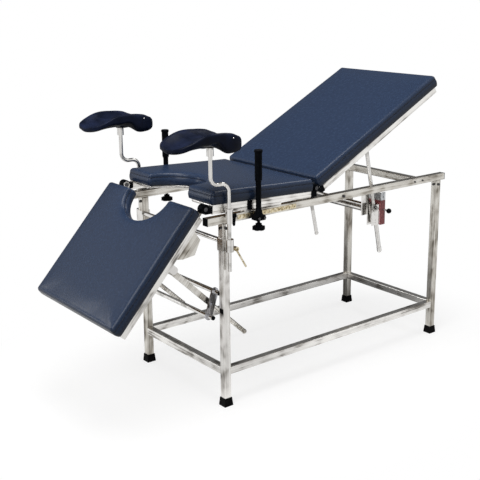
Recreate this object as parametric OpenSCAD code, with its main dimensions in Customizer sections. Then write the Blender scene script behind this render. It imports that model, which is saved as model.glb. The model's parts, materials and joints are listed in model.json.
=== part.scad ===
// Examination table with a raised back section, a lowered leg section, two leg holders and two hand grips.
// The table lies along X, with the foot end at -X and the head end at +X.
// Y runs across it: the near side is -Y and the far side is +Y. The floor is at z = 0.
// Heights are measured from the floor, and places along X from the middle of the four legs.

/* [Base frame] */
// Width of the square steel tube of the base
tube_w = 30; // [24:1:36]
// Distance between the front and rear legs, centre to centre
leg_pitch_x = 1200; // [1150:10:1260]
// How far the legs' centres stand in from the pads' edges
leg_inset_y = 15; // [5:1:30]
// Height of the top of the side rails
rail_top_z = 765; // [755:1:775]
// How far the side rails reach past the front legs' centres
rail_front_overhang = 82; // [70:1:86]
// How far the side rails reach past the rear legs' centres
rail_rear_overhang = 40; // [30:1:70]
// Height of the underside of the bottom rails
bottom_rail_z = 129; // [80:1:200]
// Distance from the middle of the legs to the rear cross rail
rear_cross_x = 465; // [400:5:520]
// Diameter of the round tube between the front legs
front_cross_d = 19; // [14:1:24]
// How far the round tube between the front legs lies below the rails' top
front_cross_drop = 100; // [85:5:200]

/* [Feet] */
// Height of a rubber foot
foot_h = 33; // [24:1:45]
// Width of a rubber foot at the floor
foot_base_w = 40; // [38:1:50]
// Rubber under the end of the leg
foot_floor = 10; // [4:1:16]

/* [Seat section] */
// Forward edge of the seat pad's top, from the middle of the legs
seat_front_x = -657; // [-665:1:-650]
// Height of that edge above the side rails
seat_rise = 97; // [95:1:101]
// Slope of the seat towards the head end, in degrees
seat_tilt = 2.1; // [1.8:0.1:2.3]
// Length of the seat pad
seat_len = 497; // [480:1:498]
// Thickness of the seat pad at its edge
seat_pad_t = 50; // [46:1:50]
// Width of all three pads
pad_w = 590; // [560:2:592]
// Square tube of the three section frames
sec_tube_w = 25; // [20:1:25]
// Half the width of the opening at the front of the seat
seat_notch_hw = 133; // [100:1:150]
// Depth of that opening
seat_notch_depth = 150; // [100:1:170]

/* [Back section] */
// Pivot of the back section, past the rear edge of the seat pad
back_pivot_gap = 10; // [9:1:11]
// Height of that pivot above the side rails
back_pivot_rise = 41; // [40:1:42]
// Slope of the back section as shown, in degrees
back_angle = 27.5; // [25:0.5:29]
// Length of the back pad
back_len = 786; // [740:1:800]
// Thickness of the back pad at its edge
back_pad_t = 52; // [46:1:52]

/* [Leg section] */
// Pivot of the leg section, ahead of the forward edge of the seat
leg_pivot_ahead = 31.5; // [30:0.5:33]
// Height of that pivot above the side rails
leg_pivot_rise = 36; // [34:1:38]
// Drop of the leg section as shown, in degrees
leg_angle = 47.85; // [46:0.05:50]
// Length of the leg pad
leg_len = 522; // [490:1:540]
// Thickness of the leg pad at its edge
leg_pad_t = 50; // [44:1:52]
// Half the width of the opening at the top of the leg pad
leg_notch_hw = 140; // [110:1:160]
// Depth of that opening
leg_notch_depth = 117; // [90:1:140]

/* [Cushions] */
// Rise of a cushion's top in the middle
crown = 7; // [0:1:14]
// How far a cushion's sides swell
side_swell = 2; // [0:0.5:4]
// Radius of a cushion's corners seen from above
pad_corner_r = 14; // [6:1:30]
// Radius of a cushion's upper edge
pad_edge_r = 11; // [5:1:16]
// Thickness of the board inside a cushion
board_t = 12; // [8:1:16]
// How far a board stays inside the cushion's edge
board_margin = 18; // [12:1:30]

/* [Leg holders] */
// Distance from the pads' edge out to a holder's rod
rod_out_y = 17; // [11:1:25]
// Lower part of the rod, from the middle of the legs
rod_x = -598; // [-605:1:-590]
// Diameter of the rod
rod_d = 15; // [12:0.5:16]
// How far the rod hangs below the rails' top
rod_hang = 212; // [165:1:265]
// How far the rod steps towards the foot end
rod_step = 80; // [60:1:100]
// Radius of the rod's two bends
rod_bend_r = 32; // [24:1:50]
// Height of the middle of the step above the side rails
rod_step_rise = 125; // [115:1:140]
// Length of the holder's saddle, along the table
saddle_len = 310; // [260:2:340]
// Width of the holder's saddle
saddle_w = 180; // [150:2:200]
// Thickness of the saddle
saddle_t = 24; // [16:1:30]
// Height of the middle of the saddle's upper face above the side rails
saddle_lift = 295; // [275:1:315]

/* [Hand grips] */
// Place of the grips, from the middle of the legs
post_x = -462; // [-470:1:-450]
// Distance from the pads' edge out to the middle of a grip
post_out_y = 21; // [19:1:27]
// Diameter of a grip's cap
post_d = 32; // [28:1:34]
// Height of the top of a grip above the side rails
post_rise = 234; // [180:2:255]
// Diameter of the hand screw below a grip
knob_d = 48; // [42:1:54]

/* [Stays] */
// Upper pivot of the back's stay, along the back from its pivot
back_stay_s = 344; // [330:1:360]
// Length of the back's stay from its pivot to the end of its handle
back_stay_len = 494; // [460:1:520]
// Slope of the back's stay from upright, in degrees
back_stay_lean = 11.8; // [11.2:0.1:12.2]
// Diameter of the back's stay
back_stay_d = 16; // [12:1:16]
// Upper pivot of the leg section's stays, along the leg section from its pivot
leg_stay_s = 241; // [235:1:247]
// Depth of that pivot below the line through the leg section's own pivot
leg_stay_drop = 52; // [49:1:55]
// Length of a leg stay from its pivot to the end of its handle
leg_stay_len = 487; // [460:1:500]
// Slope of a leg stay from level, in degrees
leg_stay_slope = 43.7; // [43.2:0.1:44.2]

/* [Hidden] */
// Finish of the round surfaces
$fn = 48;
// Sides of round pieces that meet in one smooth hull
soft_fn = 32;
// Overrun of every cut
eps = 1;
// Clearance between faces that slide past one another
slide_gap = 0.3;
// Radial clearance of a shaft in its bore
run_gap = 0.08;

STEEL = "#B9B6AE";
CHROME = "#D4D6D8";
DARK_STEEL = "#8C8E90";
BLACK = "#1B1C1F";
NAVY = "#2B3850";
SADDLE = "#20232E";
BOARD = "#B08D62";
BRASS = "#A8894E";
RED = "#8F5050";

leg_x = leg_pitch_x / 2;
leg_y = pad_w / 2 - leg_inset_y;
out_y = leg_y + tube_w / 2;
in_y = leg_y - tube_w / 2;
rail_z = rail_top_z - tube_w;
rail_front_x = -leg_x - rail_front_overhang;
rail_rear_x = leg_x + rail_rear_overhang;
cap_t = 3;
cap_chamfer = 2;

// Heights that follow the side rails
front_cross_z = rail_top_z - front_cross_drop;
seat_front_z = rail_top_z + seat_rise;
back_pivot_z = rail_top_z + back_pivot_rise;
leg_pivot_z = rail_top_z + leg_pivot_rise;
rod_bottom_z = rail_top_z - rod_hang;
rod_step_z = rail_top_z + rod_step_rise;
saddle_z = rail_top_z + saddle_lift;
post_top_z = rail_top_z + post_rise;

// Pivots that follow the seat, and holders and grips that follow the pads' edge
leg_pivot_x = seat_front_x - leg_pivot_ahead;
back_pivot_x = seat_front_x + seat_len + back_pivot_gap;
rod_y = pad_w / 2 + rod_out_y;
post_y = pad_w / 2 + post_out_y;

// Frames of the three sections: x along the section towards the head end, z square to its top
seat_tube_top = -seat_pad_t;
seat_tube_bottom = seat_tube_top - sec_tube_w;
back_start = 19;
back_tube_top = -12;
back_tube_mid = back_tube_top - sec_tube_w / 2;
back_end = back_start + back_len;
leg_start = -24.4;
leg_tube_top = 8.2;
leg_end = leg_start - leg_len;

// Rings round a cushion between its underside and its top: shares of its thickness, swell and edge radius
ring_height_shares = [0.12, 0.5, 0.8, 0.94];
ring_swell_shares = [0.5, 1, 0.6, 0];
ring_inset_shares = [0, 0, 0, 0.3];

// The box of the whole table is centred on the origin
leg_corner = [
    leg_end + ring_inset_shares[3] * pad_edge_r,
    leg_tube_top + leg_pad_t * ring_height_shares[3]
];
leg_corner_x = leg_pivot_x + leg_corner[0] * cos(leg_angle) - leg_corner[1] * sin(leg_angle);
mid_x = -(leg_corner_x + rail_rear_x + cap_t) / 2;

// Section tubes lie in from the pad's edge
sec_inset = 4;
sec_y = pad_w / 2 - sec_inset - sec_tube_w / 2;

// Placing

// Moves what is drawn from the middle of the legs to the origin
module placed() {
    translate([mid_x, 0, 0]) children();
}

// The seat section's frame, at the front edge of its top
module on_seat() {
    placed() translate([seat_front_x, 0, seat_front_z]) rotate([0, seat_tilt, 0]) children();
}

// The back section's frame, at its pivot
module on_back() {
    placed() translate([back_pivot_x, 0, back_pivot_z]) rotate([0, -back_angle, 0]) children();
}

// The leg section's frame, at its pivot
module on_leg() {
    placed() translate([leg_pivot_x, 0, leg_pivot_z]) rotate([0, -leg_angle, 0]) children();
}

// Draws a near piece and its twin on the far side
module both_sides() {
    children();
    mirror([0, 1, 0]) children();
}

// A box given by its two corners
module block(from, to) {
    translate(from) cube(to - from);
}

// A cylinder along Y, between two places on Y
module rod_y_axis(r, y0, y1, x = 0, z = 0) {
    translate([x, y0, z]) rotate([-90, 0, 0]) cylinder(r = r, h = y1 - y0);
}

// A hexagonal bolt head along -Y, seated on the plane y = 0
module bolt_head(across, height) {
    rotate([90, 0, 0]) cylinder(d = across, h = height, $fn = 6);
}

// Base frame

module leg(sx, sy) {
    color(STEEL) placed() translate([sx * leg_x - tube_w / 2, sy * leg_y - tube_w / 2, foot_floor])
        cube([tube_w, tube_w, rail_z - foot_floor]);
}

foot_rim = 2;
foot_top_w = tube_w + 2 * foot_rim;

module foot() {
    difference() {
        linear_extrude(height = foot_h, scale = foot_top_w / foot_base_w)
            square(foot_base_w, center = true);
        translate([-tube_w / 2, -tube_w / 2, foot_floor]) cube([tube_w, tube_w, foot_h]);
    }
}

module rubber_feet() {
    color(BLACK) placed() for (sx = [-1, 1], sy = [-1, 1]) translate([sx * leg_x, sy * leg_y, 0]) foot();
}

module bottom_side_rails() {
    color(STEEL) placed() both_sides()
        block(
            [-leg_x + tube_w / 2, -out_y, bottom_rail_z],
            [leg_x - tube_w / 2, -in_y, bottom_rail_z + tube_w]);
}

module bottom_end_rails() {
    color(STEEL) placed() for (sx = [-1, 1]) translate([sx * leg_x, 0, 0])
        block([-tube_w / 2, -in_y, bottom_rail_z], [tube_w / 2, in_y, bottom_rail_z + tube_w]);
}

module top_side_rails() {
    color(STEEL) placed() both_sides()
        block([rail_front_x, -out_y, rail_z], [rail_rear_x, -in_y, rail_top_z]);
}

// A square end cap with chamfered edges, growing along +X from x = 0
module square_cap(w) {
    inner_w = w - 2 * cap_chamfer;
    hull() {
        translate([0, -w / 2, -w / 2]) cube([cap_t / 3, w, w]);
        translate([0, -inner_w / 2, -inner_w / 2]) cube([cap_t, inner_w, inner_w]);
    }
}

leg_cap_w = 20;
leg_cap_z = 390;

module tube_caps() {
    color(BLACK) placed() {
        for (sy = [-1, 1]) {
            translate([rail_rear_x, sy * leg_y, rail_z + tube_w / 2]) square_cap(tube_w);
            translate([rail_front_x, sy * leg_y, rail_z + tube_w / 2]) mirror([1, 0, 0]) square_cap(tube_w);
            translate([-leg_x - tube_w / 2, sy * leg_y, leg_cap_z]) mirror([1, 0, 0]) square_cap(leg_cap_w);
        }
        for (p = stay_tube_places) both_sides()
            rod_y_axis(stay_tube_d / 2 - plug_in, -in_y, -in_y + plug_t, p[0], p[1]);
    }
}

module rear_cross_rail() {
    color(STEEL) placed()
        block([rear_cross_x - tube_w / 2, -in_y, rail_z], [rear_cross_x + tube_w / 2, in_y, rail_top_z]);
}

// The front cross tube stands a little towards the foot end from the legs' centres
front_cross_x = -leg_x - 5;

// Tubes that the leg stays slide between, placed from the leg section's pivot along X and down
stay_tube_d = 18;
upper_tube_back = 77.5;
upper_tube_drop = 345;
lower_tube_back = 46.5;
lower_tube_drop = 437;
stay_tube_upper = [leg_pivot_x + upper_tube_back, leg_pivot_z - upper_tube_drop];
stay_tube_lower = [leg_pivot_x + lower_tube_back, leg_pivot_z - lower_tube_drop];
stay_tube_places = [stay_tube_upper, stay_tube_lower];
plug_t = 3;
plug_in = 1;

// Round tubes between the front legs
module front_cross_tubes() {
    color(CHROME) placed() {
        rod_y_axis(front_cross_d / 2, -in_y, in_y, front_cross_x, front_cross_z);
        for (p = stay_tube_places) rod_y_axis(stay_tube_d / 2, -in_y + plug_t, in_y - plug_t, p[0], p[1]);
    }
}

bolt_across = 12;
bolt_h = 5;
leg_bolt_drop = 18;
cross_screw_d = 8;
cross_screw_h = 3;
cross_screw_pitch = 50;
rail_bolt_x = 3;

module frame_bolts() {
    color(DARK_STEEL) placed() both_sides() {
        for (sx = [-1, 1])
            translate([sx * leg_x, -out_y, rail_z - leg_bolt_drop]) bolt_head(bolt_across, bolt_h);
        for (sx = [-1, 1])
            translate([rear_cross_x + sx * cross_screw_pitch / 2, -out_y, rail_z + tube_w / 2])
                rotate([90, 0, 0]) cylinder(d = cross_screw_d, h = cross_screw_h);
        translate([rail_bolt_x, -out_y, rail_z + tube_w / 2]) bolt_head(bolt_across, bolt_h);
        for (sx = [-1, 1])
            translate([post_x + sx * post_base_w / 3, -post_y - post_foot_t, post_base_mid_z])
                bolt_head(bolt_across, bolt_h);
        translate([leg_x + tube_w / 2, -leg_y, rail_z - leg_bolt_drop]) rotate([0, 90, 0])
            cylinder(d = bolt_across, h = bolt_h, $fn = 6);
        for (sx = [-1, 1])
            translate([sx * leg_x - tube_w / 2, -leg_y, rail_z - leg_bolt_drop]) rotate([0, -90, 0])
                cylinder(d = bolt_across, h = bolt_h, $fn = 6);
        hinge_bolt(pin_r, -sec_out_y, -leg_in_y + leaf_t + slide_gap, leg_pivot_x, leg_pivot_z);
        hinge_bolt(back_pin_r, -sec_out_y - back_leaf_t, -sec_in_y, back_pivot_x, back_pivot_z);
    }
}

strip_from_x = -545;
strip_to_x = -259;
strip_t = 3;
strip_w = 16;
strip_hole_d = 6;
strip_hole_pitch = 25;

module holed_strips() {
    strip_z = rail_z + tube_w / 2;
    holes = floor((strip_to_x - strip_from_x - strip_w) / strip_hole_pitch);
    color(DARK_STEEL) placed() both_sides() difference() {
        block(
            [strip_from_x, -out_y - strip_t, strip_z - strip_w / 2],
            [strip_to_x, -out_y, strip_z + strip_w / 2]);
        for (i = [0 : holes])
            translate([strip_to_x - strip_w / 2 - i * strip_hole_pitch, -out_y + eps, strip_z])
                rotate([90, 0, 0]) cylinder(d = strip_hole_d, h = strip_t + 2 * eps, $fn = 24);
    }
}

// Cushions

// Places across a cushion at inset r: dense at the corners and round the opening
pad_side_n = 5;
pad_notch_n = 10;
pad_len_n = 12;
plain_split_share = 0.45;
function notch_half(w, notch_hw, r) = notch_hw > 0 ? notch_hw + r : w * plain_split_share / 2;
function side_ys(half, a) =
    [for (i = [0 : pad_side_n]) -(a + (half - a) * (1 + cos(180 * i / pad_side_n)) / 2)];
function notch_ys(a) = [for (i = [1 : pad_notch_n - 1]) a * sin(-90 + 180 * i / pad_notch_n)];
function pad_ys(w, notch_hw, r) =
    let (a = notch_half(w, notch_hw, r), s = side_ys(w / 2 - r, a))
    concat(s, notch_ys(a), [for (i = [pad_side_n : -1 : 0]) -s[i]]);
pad_cols = 2 * (pad_side_n + 1) + pad_notch_n - 1;

// Front edge of a cushion at y, at inset r
function pad_front(y, notch_hw, notch_depth, r) =
    notch_hw > 0 && abs(y) < notch_hw + r ? r + notch_depth * sqrt(1 - pow(y / (notch_hw + r), 2)) : r;

// How far out a row may reach, d from the cushion's end
function corner_reach(half, c, d) = d >= c ? half : half - c + sqrt(c * c - (c - d) * (c - d));

// One point of a cushion's net, with its height given
function pad_point(len, w, notch_hw, notch_depth, r, y, j, z) =
    let (
        t = (1 - cos(180 * j / pad_len_n)) / 2,
        x0 = pad_front(y, notch_hw, notch_depth, r),
        x = x0 + t * (len - r - x0),
        a = notch_half(w, notch_hw, r),
        half = w / 2 - r,
        c = max(pad_corner_r - r, eps),
        d = min(t, 1 - t) * (len - 2 * r),
        reach = corner_reach(half, c, d),
        y1 = abs(y) <= a ? y : sign(y) * (a + (abs(y) - a) * (reach - a) / (half - a))
    ) [x, y1, z];

// A net of points at inset r and height z, with a crown over the middle
crown_power = 4;
function pad_net(len, w, notch_hw, notch_depth, r, z, rise) =
    [for (j = [0 : pad_len_n]) for (y = pad_ys(w, notch_hw, r))
        let (
            u = abs(y) / (w / 2 - r),
            t = (1 - cos(180 * j / pad_len_n)) / 2,
            swell = rise * (1 - pow(u, crown_power)) * sqrt(sin(180 * t))
        )
        pad_point(len, w, notch_hw, notch_depth, r, y, j, z + swell)];

// Indices of a net's border, in order round it
function border() = concat(
    [for (i = [0 : pad_cols - 1]) i],
    [for (j = [1 : pad_len_n]) j * pad_cols + pad_cols - 1],
    [for (i = [pad_cols - 2 : -1 : 0]) pad_len_n * pad_cols + i],
    [for (j = [pad_len_n - 1 : -1 : 1]) j * pad_cols]);

// Two triangles for each cell of a net that starts at point k
function net_faces(k, up) = [
    for (j = [0 : pad_len_n - 1]) for (i = [0 : pad_cols - 2]) for (h = [0, 1])
        let (p = k + j * pad_cols + i, q = p + pad_cols)
        h == 0 ? (up ? [p, p + 1, q] : [p, q, p + 1]) : (up ? [p + 1, q + 1, q] : [p + 1, q, q + 1])];

// Two triangles for each side between two rings of n points that start at a and b
function ring_faces(a, b, n) = [
    for (i = [0 : n - 1]) for (h = [0, 1])
        let (m = (i + 1) % n)
        h == 0 ? [a[i], a[m], b[i]] : [a[m], b[m], b[i]]];

pad_net_n = pad_cols * (pad_len_n + 1);
pad_ring_n = 2 * (pad_cols + pad_len_n) - 2;
pad_foot_inset = 3;

module cushion(len, w, t, notch_hw = 0, notch_depth = 0) {
    bottom = pad_net(len, w, notch_hw, notch_depth, pad_foot_inset, 0, 0);
    top = pad_net(len, w, notch_hw, notch_depth, pad_edge_r, t, crown);
    b = border();
    rings = [for (k = [0 : len(ring_height_shares) - 1])
        let (
            inset = ring_inset_shares[k] * pad_edge_r - ring_swell_shares[k] * side_swell,
            net = pad_net(len, w, notch_hw, notch_depth, inset, t * ring_height_shares[k], 0)
        )
        for (i = b) net[i]];
    ring_at = function (k) [for (i = [0 : pad_ring_n - 1]) 2 * pad_net_n + k * pad_ring_n + i];
    bottom_border = b;
    top_border = [for (i = b) pad_net_n + i];
    last = len(ring_height_shares) - 1;
    polyhedron(
        points = concat(bottom, top, rings),
        faces = concat(
            net_faces(0, false),
            net_faces(pad_net_n, true),
            ring_faces(bottom_border, ring_at(0), pad_ring_n),
            [for (k = [0 : last - 1]) each ring_faces(ring_at(k), ring_at(k + 1), pad_ring_n)],
            ring_faces(ring_at(last), top_border, pad_ring_n)),
        convexity = 6);
}

// Outline of the board inside a cushion
module board_outline(len, w, notch_hw, notch_depth) {
    difference() {
        translate([board_margin, -w / 2 + board_margin])
            square([len - 2 * board_margin, w - 2 * board_margin]);
        if (notch_hw > 0) scale([(notch_depth + board_margin) / (notch_hw + board_margin), 1])
            circle(r = notch_hw + board_margin);
    }
}

module board(len, w, notch_hw = 0, notch_depth = 0) {
    linear_extrude(height = board_t) board_outline(len, w, notch_hw, notch_depth);
}

// A cushion with the pocket that its board fills
module pad(len, w, t, notch_hw = 0, notch_depth = 0) {
    difference() {
        cushion(len, w, t, notch_hw, notch_depth);
        translate([0, 0, -eps]) linear_extrude(height = board_t + eps)
            board_outline(len, w, notch_hw, notch_depth);
    }
}

// Seat section

seat_tube_x0 = 3;
seat_tube_end_gap = 10;
seat_tube_x1 = seat_len - seat_tube_end_gap;

module seat_side_tubes() {
    color(STEEL) on_seat() both_sides() translate([seat_tube_x0, -sec_y - sec_tube_w / 2, seat_tube_bottom])
        cube([seat_tube_x1 - seat_tube_x0, sec_tube_w, sec_tube_w]);
}

module seat_rear_tube() {
    half = sec_y - sec_tube_w / 2;
    color(STEEL) on_seat() translate([seat_tube_x1 - sec_tube_w, -half, seat_tube_bottom])
        cube([sec_tube_w, 2 * half, sec_tube_w]);
}

// Round bar that follows the opening of the seat under the pad
u_bar_d = 14;
u_bar_margin = 16;

module seat_u_bar() {
    r = seat_notch_hw + u_bar_margin;
    z = seat_tube_top - u_bar_d / 2;
    straight = seat_notch_depth + u_bar_margin - r;
    arm_x = max(straight, u_bar_d);
    half = sec_y - sec_tube_w / 2;
    color(CHROME) on_seat() translate([0, 0, z]) {
        translate([arm_x, 0, 0]) intersection() {
            rotate_extrude() translate([r, 0]) circle(d = u_bar_d, $fn = 24);
            translate([0, -2 * r, -u_bar_d]) cube([2 * r, 4 * r, 2 * u_bar_d]);
        }
        both_sides() rod_y_axis(u_bar_d / 2, -half, -r, arm_x, 0);
        both_sides() translate([arm_x, -r, 0]) sphere(d = u_bar_d);
    }
}

module seat_board() {
    color(BOARD) on_seat() translate([0, 0, seat_tube_top])
        board(seat_len, pad_w, seat_notch_hw, seat_notch_depth);
}

module seat_pad() {
    color(NAVY) on_seat() translate([0, 0, seat_tube_top])
        pad(seat_len, pad_w, seat_pad_t, seat_notch_hw, seat_notch_depth);
}

// Strips under the seat's side tubes, and the blocks that carry them on the rails
flange_t = 10;
flange_x1 = 330;
riser_x0 = 150;
riser_x1 = 186;
rear_riser_x0 = 440;
rear_riser_x1 = 470;

module seat_risers() {
    color(STEEL) both_sides() difference() {
        union() {
            on_seat() translate([seat_tube_x0, -sec_y - sec_tube_w / 2, seat_tube_bottom - flange_t])
                cube([flange_x1 - seat_tube_x0, sec_tube_w, flange_t]);
            placed() block(
                [seat_front_x + riser_x0, -sec_y - sec_tube_w / 2, rail_top_z],
                [seat_front_x + riser_x1, -sec_y + sec_tube_w / 2, rail_top_z + tube_w]);
        }
        on_seat() translate([0, -pad_w / 2, seat_tube_bottom]) cube([seat_len, pad_w, 2 * tube_w]);
        placed() block([rail_front_x, -out_y, rail_z], [rail_rear_x, -in_y, rail_top_z]);
    }
}

// Hinges

pin_r = 5;
pin_head_d = 16;
pin_head_h = 3;
back_pin_r = 4.5;
knuckle_r = 18;
knuckle_drop = 20;
leaf_t = 5;
side_leaf_gap = 1;
sec_out_y = sec_y + sec_tube_w / 2;
sec_in_y = sec_y - sec_tube_w / 2;
// The leg section's tubes stand in by the gap, so that its leaves pass beside the knuckles
leg_sec_y = sec_y - side_leaf_gap;
leg_in_y = leg_sec_y - sec_tube_w / 2;

// Black knuckles at the front end of the seat's side tubes
module leg_hinge_blocks() {
    end_x = seat_front_x + seat_tube_x0 * cos(seat_tilt) + seat_tube_bottom * sin(seat_tilt);
    color(BLACK) both_sides() difference() {
        placed() union() {
            rod_y_axis(knuckle_r, -sec_out_y, -sec_in_y, leg_pivot_x, leg_pivot_z);
            block(
                [leg_pivot_x, -sec_out_y, leg_pivot_z - knuckle_drop],
                [end_x + sec_tube_w, -sec_in_y, leg_pivot_z + pin_r]);
        }
        on_seat() translate([seat_tube_x0, -pad_w, -seat_len / 2]) cube([seat_len, 2 * pad_w, seat_len]);
        placed() rod_y_axis(pin_r + run_gap, -sec_out_y - eps, -sec_in_y + eps, leg_pivot_x, leg_pivot_z);
    }
}

back_knuckle_r = 14;
back_knuckle_inset = 1;
back_knuckle_len = 30;

// Black knuckles at the rear end of the seat's side tubes, with a stud that the hinge lever turns on
module back_hinge_brackets() {
    color(BLACK) both_sides() difference() {
        union() {
            placed() rod_y_axis(
                back_knuckle_r, -sec_out_y + back_knuckle_inset, -sec_in_y,
                back_pivot_x, back_pivot_z);
            on_seat() translate([seat_tube_x1, -sec_out_y + back_knuckle_inset, seat_tube_bottom])
                cube([back_knuckle_len, sec_tube_w - back_knuckle_inset, sec_tube_w + back_knuckle_r / 2]);
        }
        on_seat() translate([-eps, -pad_w, seat_tube_top])
            cube([seat_len + side_swell + 2 * eps, 2 * pad_w, seat_pad_t]);
        placed() rod_y_axis(back_pin_r + run_gap, -pad_w, 0, back_pivot_x, back_pivot_z);
    }
    color(BLACK) placed() {
        rod_y_axis(stay_pin_r, -sec_in_y, lever_y + lever_d / 2 + slide_gap, lever_x, lever_z);
        rod_y_axis(
            2 * stay_pin_r, lever_y + lever_d / 2 + slide_gap, lever_y + lever_d / 2 + pin_head_h,
            lever_x, lever_z);
    }
}

// One hinge bolt along Y, with its head outside and its nut inside
module hinge_bolt(r, y0, y1, x, z) {
    rod_y_axis(r, y0, y1 + pin_head_h, x, z);
    rod_y_axis(pin_head_d / 2, y0 - pin_head_h, y0, x, z, $fn = 32);
    rod_y_axis(pin_head_d / 2, y1, y1 + pin_head_h, x, z, $fn = 32);
}

// Back section

back_tube_x0 = 18;
back_tube_inset = 20;
back_tube_x1 = back_end - back_tube_inset;
back_low_tube_x = 40;
back_leaf_t = 4;
back_leaf_len = 36;
back_eye_r = 9.5;

module back_side_tubes() {
    color(STEEL) on_back() both_sides() translate([back_tube_x0, -sec_out_y, back_tube_top - sec_tube_w])
        cube([back_tube_x1 - back_tube_x0, sec_tube_w, sec_tube_w]);
}

module back_end_tubes() {
    color(STEEL) on_back() for (x = [back_low_tube_x, back_tube_x1 - sec_tube_w])
        translate([x, -sec_in_y, back_tube_top - sec_tube_w]) cube([sec_tube_w, 2 * sec_in_y, sec_tube_w]);
}

module back_board() {
    color(BOARD) on_back() translate([back_start, 0, back_tube_top]) board(back_len, pad_w);
}

module back_pad() {
    color(NAVY) on_back() translate([back_start, 0, back_tube_top]) pad(back_len, pad_w, back_pad_t);
}

// Plates on the outer faces of the back's side tubes, each with the eye that turns on the hinge bolt
module back_hinge_leaves() {
    color(BLACK) on_back() both_sides() translate([0, -sec_out_y, 0]) rotate([90, 0, 0]) difference() {
        linear_extrude(height = back_leaf_t) union() {
            circle(r = back_eye_r);
            polygon([
                [0, back_eye_r],
                [back_tube_x0, back_tube_top],
                [back_leaf_len, back_tube_top],
                [back_leaf_len, back_tube_top - sec_tube_w],
                [back_tube_x0, back_tube_top - sec_tube_w],
                [-back_eye_r * sin(45), -back_eye_r * cos(45)]
            ]);
        }
        translate([0, 0, -eps]) cylinder(r = back_pin_r + run_gap, h = back_leaf_t + 2 * eps);
    }
}

// Stay of the back section

stay_plate_t = 3;
stay_plate_r = 12;
stay_eye_r = 11;
stay_pin_r = 4;
stay_y_gap = 0.8;
stay_end_r = 10;
stay_end_len = 16;
stay_grip_r = 9;
stay_grip_len = 150;
// Middle of the stay across the table
stay_y = -(sec_in_y - stay_plate_t - stay_y_gap - back_stay_d / 2);

// The stay's frame at its upper pivot, with z along the rod and upwards
module on_back_stay() {
    on_back() translate([back_stay_s, 0, back_tube_mid])
        rotate([0, back_angle - back_stay_lean, 0]) children();
}

// Plate and pin on the inner face of the near side tube
module back_stay_bracket() {
    pin_end_y = stay_y + back_stay_d / 2 + stay_y_gap;
    color(CHROME) on_back() translate([back_stay_s, 0, back_tube_mid]) {
        rod_y_axis(stay_plate_r, -sec_in_y, -sec_in_y + stay_plate_t);
        rod_y_axis(stay_pin_r, -sec_in_y, pin_end_y);
        rod_y_axis(2 * stay_pin_r, pin_end_y, pin_end_y + pin_head_h);
    }
}

module back_stay() {
    r = back_stay_d / 2;
    color(CHROME) on_back_stay() difference() {
        union() {
            rod_y_axis(stay_eye_r, stay_y - r, stay_y + r);
            translate([0, stay_y, -back_stay_len]) cylinder(r = r, h = back_stay_len);
            translate([0, stay_y, -back_stay_len]) cylinder(r = stay_grip_r, h = stay_grip_len);
            translate([0, stay_y, -back_stay_len]) cylinder(r = stay_end_r, h = stay_end_len);
            translate([0, stay_y, -back_stay_len]) sphere(r = stay_end_r);
        }
        rod_y_axis(stay_pin_r + run_gap, stay_y - 2 * r, stay_y + 2 * r);
    }
}

// Cross shaft and the yoke that guides the stay

// Places here are from the back section's pivot along X, and down from the rails' top
shaft_d = 25;
shaft_back = 358;
shaft_drop = 115;
shaft_x = back_pivot_x + shaft_back;
shaft_z = rail_top_z - shaft_drop;
tie_d = 16;
tie_back = 336;
tie_drop = 89;
tie_x = back_pivot_x + tie_back;
tie_z = rail_top_z - tie_drop;
hanger_t = 4;
hanger_back = 318;
hanger_len = 106;
hanger_drop = 135;
hanger_x0 = back_pivot_x + hanger_back;
hanger_x1 = hanger_x0 + hanger_len;
hanger_bottom = rail_top_z - hanger_drop;
yoke_rear_t = 5;
yoke_front_t = 4;
yoke_drop = 91;
yoke_h = 90;
yoke_back = 350;
yoke_len = 45;
yoke_top = rail_top_z - yoke_drop;
yoke_bottom = yoke_top - yoke_h;
yoke_x0 = back_pivot_x + yoke_back;
yoke_x1 = yoke_x0 + yoke_len;
yoke_web = 4;
yoke_web_h = 22;
yoke_gap = 1;
yoke_boss_r = 10;
yoke_boss_h = 3;
yoke_bolt_r = 4.5;
yoke_bolt_h = 3;
yoke_hole_r = 2.5;
yoke_hole_in = 22;
yoke_hole_drops = [12, 66, 78];

yoke_rear_y = stay_y + stay_end_r + yoke_gap;
yoke_front_y = stay_y - stay_end_r - yoke_gap;
shaft_end_y = yoke_rear_y + yoke_rear_t;
hanger_y0 = shaft_end_y;

module cross_shaft() {
    color(CHROME) placed() rod_y_axis(shaft_d / 2, shaft_end_y, -shaft_end_y, shaft_x, shaft_z);
}

module tie_tube() {
    color(CHROME) placed() rod_y_axis(tie_d / 2, shaft_end_y, -shaft_end_y, tie_x, tie_z);
}

// Brackets under the side rails that carry the shaft and the tie tube
module shaft_hangers() {
    color(CHROME) placed() both_sides() difference() {
        union() {
            block([hanger_x0, hanger_y0, hanger_bottom], [hanger_x1, hanger_y0 + hanger_t, rail_z]);
            block([hanger_x0, -leg_y, rail_z - hanger_t], [hanger_x1, hanger_y0 + hanger_t, rail_z]);
        }
        rod_y_axis(shaft_d / 2, hanger_y0 - eps, hanger_y0 + hanger_t + eps, shaft_x, shaft_z);
        rod_y_axis(tie_d / 2, hanger_y0 - eps, hanger_y0 + hanger_t + eps, tie_x, tie_z);
        // Way for the stay through the flange
        block(
            [hanger_x0 - eps, yoke_front_y, rail_z - hanger_t - eps],
            [yoke_x1, hanger_y0, rail_z + eps]);
    }
}

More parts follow.
